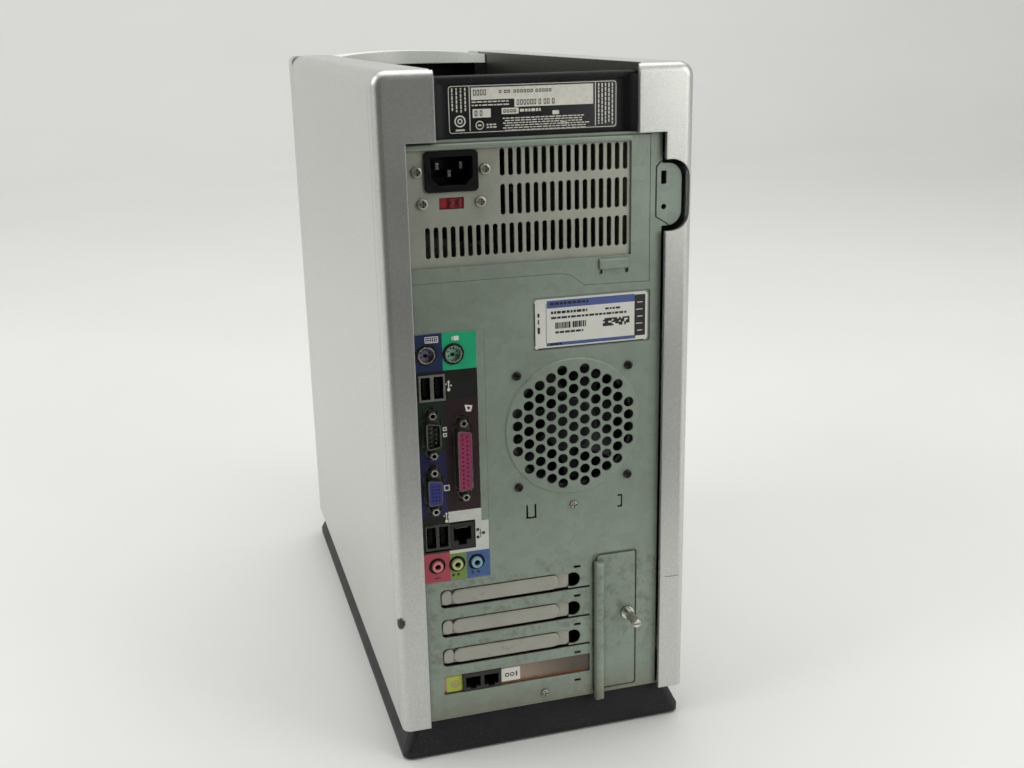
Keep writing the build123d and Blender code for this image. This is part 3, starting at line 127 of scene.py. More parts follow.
def surface(name, colour, rough=0.5, metallic=0.0, mottle=0.06, mottle_size=0.03, flake=0.0,
            flake_size=0.0005, streak=0.0, streak_stretch=(1, 1, 14), grain=0.15, grain_size=0.0006,
            edge=0.0, edge_colour=(0.5, 0.5, 0.48), edge_radius=0.0007, grime=0.0, grime_reach=0.004,
            grime_colour=(0.035, 0.03, 0.024), spots=0.0, spot_colour=(0.12, 0.06, 0.03),
            spot_size=0.004, rough_vary=0.12, coat=0.0, coat_rough=0.2, specular=0.5, paint=None):
    """Procedural finish: tone variation, flakes, streaks, worn edges, grime with painted shade in corners,
    spots and fine bump.

    paint(tree, where) may return the base colour socket in place of the plain colour."""
    mat = bpy.data.materials.new(name)
    mat.use_nodes = True
    tree = mat.node_tree
    tree.nodes.clear()
    where = add(tree, "ShaderNodeTexCoord").outputs["Object"]
    base = paint(tree, where) if paint else mix(tree, 0.0, colour, colour)
    broad = noise(tree, where, mottle_size, 5.0)
    tone = ramp(tree, broad, 0.3, 0.7, 1 - mottle, 1 + mottle)
    base = shaded(tree, base, tone)
    if flake:
        cells = add(tree, "ShaderNodeTexVoronoi", {"Vector": where, "Scale": 1 / flake_size})
        spark = add(tree, "ShaderNodeSeparateColor", {0: cells.outputs["Color"]}).outputs[0]
        lit = ramp(tree, spark, 0.0, 1.0, 1 - flake, 1 + flake)
        base = shaded(tree, base, lit)
    if streak:
        drawn = noise(tree, where, 0.0012, 4.0, 0.6, streak_stretch)
        base = mix(tree, ramp(tree, drawn, 0.5, 0.8, 0.0, streak), base, tint(colour, 0.45))
    if spots:
        patch = noise(tree, where, spot_size, 6.0, 0.7)
        zone = noise(tree, where, spot_size * 9, 2.0)
        mask = calc(tree, "MULTIPLY", ramp(tree, patch, 0.56, 0.66), ramp(tree, zone, 0.42, 0.66))
        base = mix(tree, calc(tree, "MULTIPLY", mask, spots), base, spot_colour)
    fine = noise(tree, where, grain_size, 3.0)
    roughness = calc(tree, "ADD", ramp(tree, broad, 0.2, 0.8, rough - rough_vary / 2, rough + rough_vary / 2),
                     ramp(tree, fine, 0.0, 1.0, -0.04, 0.04))
    normal = {}
    if edge:
        soft = add(tree, "ShaderNodeBevel", {"Radius": edge_radius}, samples=4).outputs[0]
        true = add(tree, "ShaderNodeNewGeometry").outputs["Normal"]
        flat = add(tree, "ShaderNodeVectorMath", {0: soft, 1: true}, operation="DOT_PRODUCT").outputs["Value"]
        rubbed = ramp(tree, noise(tree, where, 0.006, 5.0, 0.7), 0.35, 0.62)
        worn = calc(tree, "MULTIPLY", ramp(tree, flat, 0.985, 0.86, 0.0, edge), rubbed)
        base = mix(tree, worn, base, edge_colour)
        normal = {"Normal": soft}
    # grime with painted shade: ambient occlusion darkens crevices and corners towards the grime colour, where
    # shade falls
    if grime:
        open_sky = add(tree, "ShaderNodeAmbientOcclusion", {"Distance": grime_reach}, samples=5).outputs["AO"]
        dirt_and_shade = calc(tree, "MULTIPLY", ramp(tree, open_sky, 0.85, 0.3, 0.0, grime),
                    ramp(tree, noise(tree, where, 0.005, 4.0), 0.25, 0.6, 0.45, 1.0))
        base = mix(tree, dirt_and_shade, base, grime_colour)
        roughness = calc(tree, "ADD", roughness, calc(tree, "MULTIPLY", dirt_and_shade, 0.25))
    bump = add(tree, "ShaderNodeBump", {"Strength": grain, "Distance": 0.0002, "Height": fine, **normal})
    shader = add(tree, "ShaderNodeBsdfPrincipled", {
        "Base Color": base, "Metallic": metallic, "Roughness": roughness, "Specular IOR Level": specular,
        "Coat Weight": coat, "Coat Roughness": coat_rough, "Normal": bump.outputs[0]})
    out = add(tree, "ShaderNodeOutputMaterial")
    tree.links.new(shader.outputs[0], out.inputs["Surface"])
    return mat


def across(tree, where, axis):
    """One coordinate of the position, in metres."""
    return add(tree, "ShaderNodeSeparateXYZ", {0: where}).outputs[axis]


# ---------------------------------------------------------------- colours that follow the place
PURPLE = (0.02, 0.034, 0.10)
MINT = (0.018, 0.42, 0.20)
INK = (0.014, 0.014, 0.013)
TEAL = (0.014, 0.03, 0.022)
BURGUNDY = (0.03, 0.014, 0.018)
VIOLET = (0.022, 0.022, 0.085)
PAPER = (0.66, 0.68, 0.62)
PINK = (0.46, 0.075, 0.11)
LEAF = (0.20, 0.30, 0.07)
SKY = (0.07, 0.14, 0.34)
IO_SPLIT_X = 0.0604         # between the two columns of the connector sheet
IO_OUTER_X = 0.0499         # where the third column starts
USB_SPLIT_Z = 0.2           # between the two pairs of USB sockets
PLATE_FRONT_Y = 0.1926      # jack parts behind this are painted dark as shade in the plate holes
MODEM_TOP_Z = 0.0605        # top of the lowest card bracket
KNOCK_AT = (0.0945, 0.1965, 0.1)    # a rear corner rubbed bare
INNER_WALL_X = 0.0628       # the shells' walls nearer the middle than this line the channel and are painted dark as shade
REAR_FACE_Y = 0.1935        # and the rims behind this stay silver


def io_print(tree, where):
    """Colour fields of the connector sheet: two columns, with a third under the network socket."""
    x, z = across(tree, where, 0), across(tree, where, 2)
    left = bands(tree, z, [(0.12, PINK), (0.1416, INK), (0.1668, VIOLET), (0.207, TEAL), (0.239, INK),
                           (0.2579, PURPLE)])
    right = bands(tree, z, [(0.12, LEAF), (0.1402, PAPER), (0.168, BURGUNDY), (0.239, INK), (0.2579, MINT)])
    outer = bands(tree, z, [(0.12, SKY), (0.1402, PAPER), (0.168, BURGUNDY), (0.239, INK), (0.2579, MINT)])
    right = mix(tree, calc(tree, "LESS_THAN", x, IO_OUTER_X), right, outer)
    return mix(tree, calc(tree, "LESS_THAN", x, IO_SPLIT_X), left, right)


def jack_colours(tree, where):
    """Audio barrels in blue, green and pink along X; the bodies behind the plate are painted near black as
    shade.
    """
    barrels = bands(tree, across(tree, where, 0), [(0.03, (0.25, 0.46, 0.58)), (0.0498, (0.5, 0.56, 0.22)),
                                                   (0.0623, (0.70, 0.22, 0.24))])
    # painted shade: jack parts behind the plate front are near black
    behind = calc(tree, "LESS_THAN", across(tree, where, 1), PLATE_FRONT_Y)
    return mix(tree, behind, barrels, (0.008, 0.008, 0.008))


def usb_metal(tree, where):
    """Socket shells: dull steel on the upper pair; the lower pair, inside its cut-out, is painted nearly
    black as shade.
    """
    # painted shade: the lower pair of sockets sits in shadow inside its cut-out
    low = calc(tree, "LESS_THAN", across(tree, where, 2), USB_SPLIT_Z)
    return mix(tree, low, (0.33, 0.33, 0.3), (0.07, 0.07, 0.065))


def screw_colours(tree, where):
    """Bright screws on the supply and the panel, dark ones round the fan."""
    steel, dark = (0.5, 0.49, 0.43), (0.03, 0.03, 0.028)
    return bands(tree, across(tree, where, 2), [(0.0, steel), (0.17, dark), (0.27, steel)])


SILVER = (0.60, 0.61, 0.585)
SLOT_STEEL = (0.40, 0.40, 0.35)


def slot_metal(tree, where):
    """Plain steel, but the lowest bracket is pinkish, darker towards -X and rusty along its lower edge."""
    x, z = across(tree, where, 0), across(tree, where, 2)
    pink = mix(tree, ramp(tree, x, -0.02, 0.035), (0.12, 0.10, 0.085), (0.46, 0.35, 0.27))
    ragged = calc(tree, "ADD", z, ramp(tree, noise(tree, where, 0.004, 5.0), 0.0, 1.0, -0.0016, 0.0016))
    pink = mix(tree, ramp(tree, ragged, 0.0464, 0.0446, 0.0, 0.85), pink, (0.22, 0.085, 0.025))
    return mix(tree, calc(tree, "LESS_THAN", z, MODEM_TOP_Z), SLOT_STEEL, pink)


def shell_paint(tree, where):
    """Silver paint, rubbed away at one knock on the rear corner; the walls inside the channel are painted
    dark as shade.
    """
    knock = add(tree, "ShaderNodeVectorMath", {0: where, 1: KNOCK_AT}, operation="DISTANCE")
    rough_edge = ramp(tree, noise(tree, where, 0.003, 5.0), 0.0, 1.0, 0.0, 0.006)
    ragged = calc(tree, "ADD", knock.outputs["Value"], rough_edge)
    painted = mix(tree, ramp(tree, ragged, 0.0075, 0.0065), SILVER, (0.06, 0.055, 0.05))
    # painted shade: the inner walls of the channel take a dark grey in place of the silver
    inner = calc(tree, "LESS_THAN", calc(tree, "ABSOLUTE", across(tree, where, 0)), INNER_WALL_X)
    inner = calc(tree, "MULTIPLY", inner, calc(tree, "LESS_THAN", across(tree, where, 1), REAR_FACE_Y))
    return mix(tree, inner, painted, (0.07, 0.069, 0.063))


# ---------------------------------------------------------------- finishes
ZINC = (0.29, 0.345, 0.29)
BLACK = (0.012, 0.0115, 0.014)


def zinc_wear(tree, where):
    """Zinc coat, dulled and browner along the lower edge and in smudges round the slots."""
    z = across(tree, where, 2)
    # the panel turns darker and browner towards its bottom edge
    low_edge_darkening = ramp(tree, z, 0.046, 0.026, 0.0, 0.75)
    patches = ramp(tree, noise(tree, where, 0.012, 5.0), 0.3, 0.6, 0.6, 1.0)
    base = mix(tree, calc(tree, "MULTIPLY", low_edge_darkening, patches), ZINC, (0.2, 0.19, 0.135))
    band = calc(tree, "MULTIPLY", ramp(tree, z, 0.13, 0.12), ramp(tree, z, 0.05, 0.065))
    blots = ramp(tree, noise(tree, where, 0.006, 6.0, 0.7), 0.5, 0.62, 0.0, 0.5)
    return mix(tree, calc(tree, "MULTIPLY", band, blots), base, (0.17, 0.165, 0.125))


finishes = {}


def finish(name, *values, **options):
    """Adds one named surface to the finishes."""
    finishes[name] = surface(name, *values, **options)


finish("silver_shell", SILVER, 0.36, 0.8, mottle=0.035, mottle_size=0.09, flake=0.07, flake_size=0.0007,
       grain=0.12, grain_size=0.0012, edge=0.5, edge_radius=0.0008, edge_colour=(0.62, 0.62, 0.6),
       grime=0.5, grime_reach=0.003, spots=0.12, spot_colour=(0.25, 0.25, 0.23), spot_size=0.003,
       paint=shell_paint)
finish("silver_plastic", SILVER, 0.36, 0.8, mottle=0.03, mottle_size=0.08, flake=0.07, flake_size=0.0007,
       grain=0.1, grain_size=0.001, edge=0.35, grime=0.4)
finish("black_plastic", BLACK, 0.5, mottle=0.25, mottle_size=0.02, grain=0.35, grain_size=0.0007,
       edge=0.3, edge_colour=(0.1, 0.095, 0.1), spots=0.25, spot_colour=(0.16, 0.155, 0.15),
       spot_size=0.0016, rough_vary=0.2, specular=0.35)
finish("rubber", (0.02, 0.02, 0.02), 0.8, mottle=0.2, grain=0.5, specular=0.3)
finish("galvanized", ZINC, 0.46, 0.35, mottle=0.06, mottle_size=0.05, flake=0.045, flake_size=0.006,
       streak=0.07, grain=0.12, grain_size=0.0009, edge=0.55, edge_colour=(0.5, 0.51, 0.47),
       edge_radius=0.0005, grime=0.75, grime_reach=0.006, grime_colour=(0.07, 0.062, 0.045), spots=0.22,
       spot_colour=(0.15, 0.125, 0.085), spot_size=0.005, paint=zinc_wear)
finish("psu_steel", (0.42, 0.44, 0.37), 0.42, 0.35, mottle=0.05, mottle_size=0.03, flake=0.03,
       flake_size=0.004, streak=0.06, grain=0.1, edge=0.5, edge_colour=(0.55, 0.55, 0.5),
       edge_radius=0.0004, grime=0.6, grime_colour=(0.09, 0.08, 0.06), spots=0.2,
       spot_colour=(0.2, 0.15, 0.1), spot_size=0.004)
finish("channel_black", (0.012, 0.0125, 0.0145), 0.5, mottle=0.15, mottle_size=0.03, grain=0.3,
       grain_size=0.0008, edge=0.3, edge_colour=(0.1, 0.1, 0.1), specular=0.22, spots=0.2,
       spot_colour=(0.12, 0.115, 0.11), spot_size=0.0018)
# painted highlight: the bezel rim is a much paler silver than the bezel itself
finish("silver_rim", (0.9, 0.93, 0.88), 0.36, 0.15, mottle=0.03, mottle_size=0.05, flake=0.06,
       flake_size=0.0007, grain=0.1, grain_size=0.001, edge=0.3, grime=0.3)
finish("graphite_plastic", (0.035, 0.037, 0.043), 0.42, mottle=0.12, grain=0.25, grain_size=0.0008,
       edge=0.3, edge_colour=(0.14, 0.14, 0.15))
finish("gloss_black", (0.012, 0.013, 0.018), 0.16, mottle=0.2, mottle_size=0.04, grain=0.04, coat=0.5,
       coat_rough=0.08, rough_vary=0.1, spots=0.3, spot_colour=(0.12, 0.06, 0.035), spot_size=0.002)
finish("button_silver", (0.55, 0.555, 0.55), 0.28, 0.55, mottle=0.03, flake=0.05, grain=0.06, edge=0.3)
finish("light_pipe", (0.2, 0.62, 0.28), 0.2, mottle=0.12, grain=0.03, coat=0.6)
finish("drive_steel", (0.42, 0.42, 0.42), 0.36, 0.85, mottle=0.05, streak=0.1, grain=0.1, edge=0.4,
       grime=0.3)
finish("drive_plastic", (0.04, 0.042, 0.048), 0.4, mottle=0.12, grain=0.22, edge=0.3,
       edge_colour=(0.15, 0.15, 0.16))
finish("cast_alloy", (0.36, 0.37, 0.38), 0.5, 0.8, mottle=0.08, grain=0.5, grain_size=0.0012, edge=0.4)
finish("fan_black", (0.018, 0.018, 0.02), 0.38, mottle=0.15, grain=0.15, edge=0.3,
       edge_colour=(0.09, 0.09, 0.085), spots=0.4, spot_colour=(0.11, 0.1, 0.085), spot_size=0.003)
finish("inlet_black", (0.008, 0.008, 0.009), 0.36, mottle=0.18, mottle_size=0.008, grain=0.14, edge=0.5,
       edge_colour=(0.05, 0.05, 0.045), edge_radius=0.0005, specular=0.25)
finish("nickel", (0.66, 0.65, 0.6), 0.27, 1.0, mottle=0.06, mottle_size=0.006, grain=0.06, edge=0.3,
       edge_colour=(0.8, 0.8, 0.76), edge_radius=0.0003, grime=0.45, grime_reach=0.0015)
finish("brass", (0.6, 0.44, 0.2), 0.32, 1.0, mottle=0.08, mottle_size=0.004, grain=0.08, grime=0.3)
finish("red_plastic", (0.36, 0.02, 0.03), 0.36, mottle=0.12, mottle_size=0.003, grain=0.12, edge=0.4,
       edge_colour=(0.6, 0.16, 0.16), edge_radius=0.0004, grime=0.7, grime_reach=0.002,
       grime_colour=(0.06, 0.0, 0.005))
finish("board_green", (0.015, 0.11, 0.045), 0.38, mottle=0.2, mottle_size=0.012, flake=0.15,
       flake_size=0.0035, grain=0.15, coat=0.3)
finish("chip_package", (0.13, 0.15, 0.12), 0.5, mottle=0.1, grain=0.2, edge=0.3)
finish("aluminium", (0.58, 0.59, 0.6), 0.32, 1.0, mottle=0.05, streak=0.15, grain=0.1, edge=0.3)
finish("socket_plastic", (0.68, 0.66, 0.58), 0.45, mottle=0.06, grain=0.15, edge=0.2, grime=0.4)
finish("memory_green", (0.012, 0.13, 0.055), 0.36, mottle=0.15, mottle_size=0.01, flake=0.12,
       flake_size=0.003, grain=0.12)
finish("cover_steel", (0.40, 0.40, 0.35), 0.4, 0.6, mottle=0.09, mottle_size=0.02, streak=0.14,
       streak_stretch=(14, 1, 1), grain=0.16, edge=0.6, edge_colour=(0.7, 0.68, 0.6), edge_radius=0.0006,
       grime=0.9, grime_reach=0.005, grime_colour=(0.06, 0.05, 0.035), spots=0.5,
       spot_colour=(0.19, 0.13, 0.08), spot_size=0.0035, paint=slot_metal)
finish("jack_black", (0.012, 0.012, 0.012), 0.3, mottle=0.2, mottle_size=0.004, grain=0.1, edge=0.5,
       edge_colour=(0.09, 0.09, 0.09), edge_radius=0.0003)
finish("connector_metal", (0.14, 0.14, 0.12), 0.36, 0.85, mottle=0.12, mottle_size=0.005, grain=0.1,
       edge=0.8, edge_colour=(0.62, 0.62, 0.56), edge_radius=0.0003, grime=0.7, grime_reach=0.002,
       grime_colour=(0.05, 0.045, 0.03), spots=0.25, spot_colour=(0.2, 0.14, 0.08), spot_size=0.0012)
finish("usb_metal", (0.33, 0.33, 0.3), 0.36, 0.8, mottle=0.12, mottle_size=0.005, grain=0.1, edge=0.6,
       edge_colour=(0.62, 0.62, 0.56), edge_radius=0.0003, grime=0.7, grime_reach=0.002,
       grime_colour=(0.03, 0.03, 0.025), paint=usb_metal)
finish("deep_black", (0.004, 0.004, 0.004), 0.6, mottle=0.2, mottle_size=0.003, grain=0.1, specular=0.12)
finish("print_sheet", INK, 0.42, mottle=0.07, mottle_size=0.012, grain=0.08, edge=0.95,
       edge_colour=(0.62, 0.64, 0.6), edge_radius=0.00035, grime=0.3, grime_reach=0.0015, specular=0.3,
       paint=io_print)
finish("audio_plastic", PAPER, 0.4, mottle=0.06, mottle_size=0.004, grain=0.12, grime=0.8,
       grime_reach=0.0025, grime_colour=(0.03, 0.03, 0.03), paint=jack_colours)
finish("screw_steel", (0.55, 0.54, 0.48), 0.3, 0.9, mottle=0.1, mottle_size=0.003, grain=0.1, edge=0.4,
       edge_colour=(0.75, 0.74, 0.68), edge_radius=0.0003, grime=0.9, grime_reach=0.0012,
       paint=screw_colours)
finish("lead_grey", (0.06, 0.06, 0.065), 0.5, mottle=0.2, grain=0.3)
finish("label_black", (0.012, 0.012, 0.014), 0.3, mottle=0.15, mottle_size=0.015, grain=0.06, coat=0.3)
finish("label_white", (0.80, 0.80, 0.74), 0.4, mottle=0.04, mottle_size=0.012, grain=0.05)
finish("label_blue", (0.085, 0.125, 0.33), 0.35, mottle=0.06, grain=0.05)
finish("label_lime", (0.46, 0.56, 0.06), 0.42, mottle=0.08, mottle_size=0.005, grain=0.08)
finish("ink", (0.02, 0.02, 0.022), 0.45, mottle=0.1, grain=0.05)
finish("white_ink", (0.84, 0.82, 0.74), 0.45, mottle=0.08, mottle_size=0.003, grain=0.05)
finish("insert_purple", (0.2, 0.18, 0.28), 0.4, mottle=0.08, grain=0.12, grime=0.5, grime_reach=0.0012)
finish("insert_mint", (0.24, 0.5, 0.36), 0.4, mottle=0.08, grain=0.12, grime=0.5, grime_reach=0.0012)
finish("insert_magenta", (0.29, 0.03, 0.10), 0.42, mottle=0.08, grain=0.12, grime=0.4,
       grime_reach=0.0012)
finish("insert_blue", (0.03, 0.035, 0.24), 0.42, mottle=0.08, grain=0.12, grime=0.4, grime_reach=0.0012)
finish("insert_teal", (0.06, 0.08, 0.065), 0.42, mottle=0.1, grain=0.12, grime=0.5, grime_reach=0.0015)

FINISH_OF = {
    "silver_shell": "side_shell access_cover",
    "silver_plastic": "front_bezel",
    "silver_rim": "bezel_rim",
    "channel_black": "top_cover",
    "screw_steel": "rear_screws",
    "usb_metal": "usb_ports",
}
slot_of = {}
for name, obj in nodes.items():
    found = [s.material.name.split(".")[0] for s in obj.material_slots if s.material]
    slot_of[name] = found[0] if found else ""
chosen = {node: look for look, names in FINISH_OF.items() for node in names.split()}
for name, obj in nodes.items():
    look = finishes.get(chosen.get(name, slot_of[name]))
    if look is None:
        continue
    for slot in obj.material_slots:
        slot.material = look

# ---------------------------------------------------------------- mesh helpers


def finished(name, bm, look, body="tower", bevel=0.0, smooth_angle=40.0):
    """Turns a bmesh into a piece that rides on a body and takes a finish."""
    bmesh.ops.recalc_face_normals(bm, faces=bm.faces)
    mesh = bpy.data.meshes.new(name)
    bm.to_mesh(mesh)
    bm.free()
    obj = bpy.data.objects.new(name, mesh)
    bpy.context.scene.collection.objects.link(obj)
    mesh.materials.append(finishes[look])
    for polygon in mesh.polygons:
        polygon.use_smooth = True
    mesh.set_sharp_from_angle(angle=math.radians(smooth_angle))
    if bevel:
        cut = obj.modifiers.new("edges", "BEVEL")
        cut.width = bevel
        cut.segments = 2
        cut.limit_method = "ANGLE"
        cut.angle_limit = math.radians(40)
    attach(obj, body)
    return obj


def slab(bm, loops, y):
    """Prism between two Y planes; the first loop of (x, z) in mm is the outline and the rest are holes."""
    edges = []
    for loop in loops:
        ring = [bm.verts.new((px * MM, y[0] * MM, pz * MM)) for px, pz in loop]
        edges += [bm.edges.new((a, b)) for a, b in zip(ring, ring[1:] + ring[:1])]
    made = bmesh.ops.triangle_fill(bm, edges=edges, use_beauty=True)
    faces = [g for g in made["geom"] if isinstance(g, bmesh.types.BMFace)]
    grown = bmesh.ops.extrude_face_region(bm, geom=faces)
    moved = [g for g in grown["geom"] if isinstance(g, bmesh.types.BMVert)]
    bmesh.ops.translate(bm, verts=moved, vec=(0, (y[1] - y[0]) * MM, 0))


def circle(x, z, r, steps=24, turn=0.0):
    return [(x + r * math.cos(math.tau * i / steps + turn), z + r * math.sin(math.tau * i / steps + turn))
            for i in range(steps)]


def oblong(x, z, r=0.0, steps=5):
    """Rectangle between two (low, high) pairs, with rounded corners."""
    if not r:
        return [(x[0], z[0]), (x[1], z[0]), (x[1], z[1]), (x[0], z[1])]
    points = []
    for cx, cz, start in ((x[1] - r, z[1] - r, 0), (x[0] + r, z[1] - r, 90), (x[0] + r, z[0] + r, 180),
                          (x[1] - r, z[0] + r, 270)):
        for i in range(steps + 1):
            angle = math.radians(start + 90 * i / steps)
            points.append((cx + r * math.cos(angle), cz + r * math.sin(angle)))
    return points


def dee(x, z, width, length, r=1.4, inset=0.0):
    """D-shaped outline of an upright connector, its long side towards +X."""
    slope = width * math.tan(math.radians(10))
    half_w, half_l = width / 2 - inset, length / 2 - inset
    corners = [(half_w, half_l), (-half_w, half_l - slope), (-half_w, -half_l + slope), (half_w, -half_l)]
    points = []
    for i, corner in enumerate(corners):
        here, before, after = Vector(corner), Vector(corners[i - 1]), Vector(corners[(i + 1) % 4])
        start = here + (before - here).normalized() * r
        end = here + (after - here).normalized() * r
        for k in range(5):
            t = k / 4
            p = start * (1 - t) ** 2 + here * 2 * t * (1 - t) + end * t * t
            points.append((x + p.x, z + p.y))
    return points


# ---------------------------------------------------------------- rear connectors
PS2 = (((70.1, 268.2), "insert_purple", "ps2_keyboard_insert"),
       ((53.8, 267.6), "insert_mint", "ps2_mouse_insert"))
PIN_ANGLES = (20, 70, 110, 160, 215, 325)
for (x, z), colour, name in PS2:
    bm = bmesh.new()
    holes = [circle(x + 2.9 * math.cos(math.radians(a)), z + 2.9 * math.sin(math.radians(a)), 0.55, 10)
             for a in PIN_ANGLES]
    key = oblong((x - 1.25, x + 1.25), (z - 2.0, z + 0.2))
    slab(bm, [circle(x, z, 4.3, 40), *holes, key], (188.55, 191.0))
    finished(name, bm, colour, bevel=0.00008)
shields = bmesh.new()
for (x, z), _, _ in PS2:
    slab(shields, [circle(x, z, 5.1, 48), circle(x, z, 4.42, 48)], (193.92, 194.2))
    slab(shields, [circle(x, z, 4.66, 48), circle(x, z, 4.42, 48)], (184.6, 193.95))
finished("ps2_shields", shields, "nickel", bevel=0.00006)

FACE_Y = 193.3                              # rear face that the connector shells are measured from
INSERT_Y = (FACE_Y + 5.24, FACE_Y + 5.48)   # coloured insert of a female connector
HOLE_FLOOR_Y = (FACE_Y + 5.205, FACE_Y + 5.235)
SERIAL_AT, VIDEO_AT, PARALLEL_AT = (68.6, 219.4), (68.8, 183.6), (49.9, 201.8)
PIN_PITCH, ROW_GAP = 2.77, 2.84             # 9-pin and 25-pin connectors
SMALL_SPAN, LARGE_SPAN = 12.5, 23.52        # middle of the connector to its jackscrews


def dsub_face(name, at, length, rows, pitch, row_gap, colour):
    """Coloured insert of a female connector, with its holes, over a dark back that paints the shade inside
    the holes.
    """
    x, z = at
    holes = []
    for row, count in enumerate(rows):
        row_x = x + (len(rows) - 1) * row_gap / 2 - row * row_gap
        for i in range(count):
            holes.append(circle(row_x, z + (i - (count - 1) / 2) * pitch, 0.62, 10))
    bm = bmesh.new()
    slab(bm, [dee(x, z, 7.5, length - 1.1), *holes], INSERT_Y)
    finished(name + "_insert", bm, colour)
    bm = bmesh.new()
    # painted shade: a thin dark sheet behind the insert darkens its holes
    slab(bm, [dee(x, z, 7.4, length - 1.2)], HOLE_FLOOR_Y)
    finished(name + "_hole_floor", bm, "jack_black")


dsub_face("parallel", PARALLEL_AT, 39.0, (13, 12), PIN_PITCH, ROW_GAP, "insert_magenta")
dsub_face("video", VIDEO_AT, 17.0, (5, 5, 5), 2.29, 1.98, "insert_blue")

bm = bmesh.new()
slab(bm, [dee(*SERIAL_AT, 7.4, 15.8)], (FACE_Y + 0.62, FACE_Y + 1.4))
finished("serial_insert", bm, "insert_teal", bevel=0.0001)
bm = bmesh.new()
for row, count in enumerate((5, 4)):
    for i in range(count):
        px = SERIAL_AT[0] + ROW_GAP / 2 - row * ROW_GAP
        pz = SERIAL_AT[1] + (i - (count - 1) / 2) * PIN_PITCH
        slab(bm, [circle(px, pz, 0.5, 12)], (FACE_Y + 1.35, FACE_Y + 4.8))
finished("serial_pins", bm, "connector_metal", bevel=0.00015)


rings = bmesh.new()
for (x, z), reach in ((SERIAL_AT, SMALL_SPAN), (VIDEO_AT, SMALL_SPAN), (PARALLEL_AT, LARGE_SPAN)):
    for side in (-1, 1):
        slab(rings, [circle(x, z + side * reach, 1.95, 20), circle(x, z + side * reach, 1.42, 20)],
             (FACE_Y + 4.62, FACE_Y + 4.8))
finished("jackscrew_rings", rings, "nickel", bevel=0.00005)


def tee(mid, half, top, step, key, bottom):
    """T-shaped outline of a network socket, its latch key downwards."""
    return [(mid - half, top), (mid + half, top), (mid + half, step), (mid + key, step),
            (mid + key, bottom), (mid - key, bottom), (mid - key, step), (mid - half, step)]


def liner(bm, x, y, z, wall=0.3):
    """Open box inside a socket: four walls and a back."""
    slab(bm, [oblong(x, z), oblong((x[0] + wall, x[1] - wall), (z[0] + wall, z[1] - wall))], y)
    slab(bm, [oblong(x, z)], (y[0] - 0.4, y[0] + 0.001))


USB_PAIRS = (("usb_upper", (59.6, 75.4), (239.8, 255.9)), ("usb_lower", (60.0, 75.4), (144.4, 161.0)))
for name, xs, zs in USB_PAIRS:
    quarter, mid = (xs[1] - xs[0]) / 4, (zs[0] + zs[1]) / 2
    lining, contacts, sleeves = bmesh.new(), bmesh.new(), bmesh.new()
    for centre in (xs[0] + quarter, xs[1] - quarter):
        liner(lining, (centre - 2.86, centre + 2.86), (184.0, 192.9), (mid - 6.86, mid + 6.86), 0.25)
        tongue = oblong((centre - 1.5, centre + 1.0), (mid - 5.9, mid + 5.9))
        bore = oblong((centre - 1.22, centre + 0.72), (mid - 5.62, mid + 5.62))
        slab(sleeves, [tongue, bore], (184.4, 190.7))
        slab(sleeves, [tongue], (190.65, 190.9))
        for k in range(4):
            kz = mid - 3.75 + 2.5 * k
            slab(contacts, [oblong((centre + 1.0, centre + 1.16), (kz - 0.5, kz + 0.5))], (185.0, 190.2))
    # painted shade: the near-black linings stand for the shade inside the sockets
    finished(name + "_lining", lining, "deep_black")
    finished(name + "_tongues", sleeves, "deep_black", bevel=0.0001)
    finished(name + "_contacts", contacts, "brass")

LAN_MID_X = (44.0 + 59.7) / 2
bm = bmesh.new()
mouth = tee(LAN_MID_X, 5.86, 157.56, 148.04, 2.96, 145.04)
inner = tee(LAN_MID_X, 5.5, 157.2, 148.4, 2.6, 145.4)
slab(bm, [mouth, inner], (179.0, 192.5))
slab(bm, [mouth], (178.4, 179.01))
finished("network_lining", bm, "jack_black")
bm = bmesh.new()
for k in range(8):
    kx = LAN_MID_X - 3.57 + 1.02 * k
    slab(bm, [oblong((kx - 0.2, kx + 0.2), (155.6, 156.2))], (180.0, 190.6))
finished("network_contacts", bm, "brass", bevel=0.0001)

# ---------------------------------------------------------------- signs on the connector sheet
signs = bmesh.new()
SIGN_Y = (193.18, 193.22)


def ring_sign(x, z, half_w, half_h, line=0.5):
    outer = oblong((x - half_w, x + half_w), (z - half_h, z + half_h), 0.3)
    opening = oblong((x - half_w + line, x + half_w - line), (z - half_h + line, z + half_h - line), 0.2)
    slab(signs, [outer, opening], SIGN_Y)


ring_sign(66.6, 277.2, 4.0, 1.9, 0.45)
for row in range(2):
    for i in range(5):
        kx, kz = 64.0 + 1.3 * i, 276.4 + 1.3 * row
        slab(signs, [oblong((kx - 0.4, kx + 0.4), (kz - 0.35, kz + 0.35))], SIGN_Y)
slab(signs, [oblong((50.2, 53.4), (275.6, 278.4), 0.6)], SIGN_Y)
slab(signs, [oblong((53.9, 54.5), (275.9, 278.1))], SIGN_Y)
for cx, cz in ((57.3, 248.2), (61.6, 164.8)):
    slab(signs, [circle(cx, cz - 2.2, 1.0, 14)], SIGN_Y)
    slab(signs, [oblong((cx - 0.3, cx + 0.3), (cz - 1.4, cz + 2.4))], SIGN_Y)
    slab(signs, [[(cx, cz + 3.6), (cx - 0.9, cz + 2.2), (cx + 0.9, cz + 2.2)]], SIGN_Y)
    slab(signs, [oblong((cx - 1.9, cx - 1.0), (cz - 0.2, cz + 0.7))], SIGN_Y)
    slab(signs, [oblong((cx + 1.0, cx + 1.8), (cz + 0.9, cz + 1.7), 0.3)], SIGN_Y)
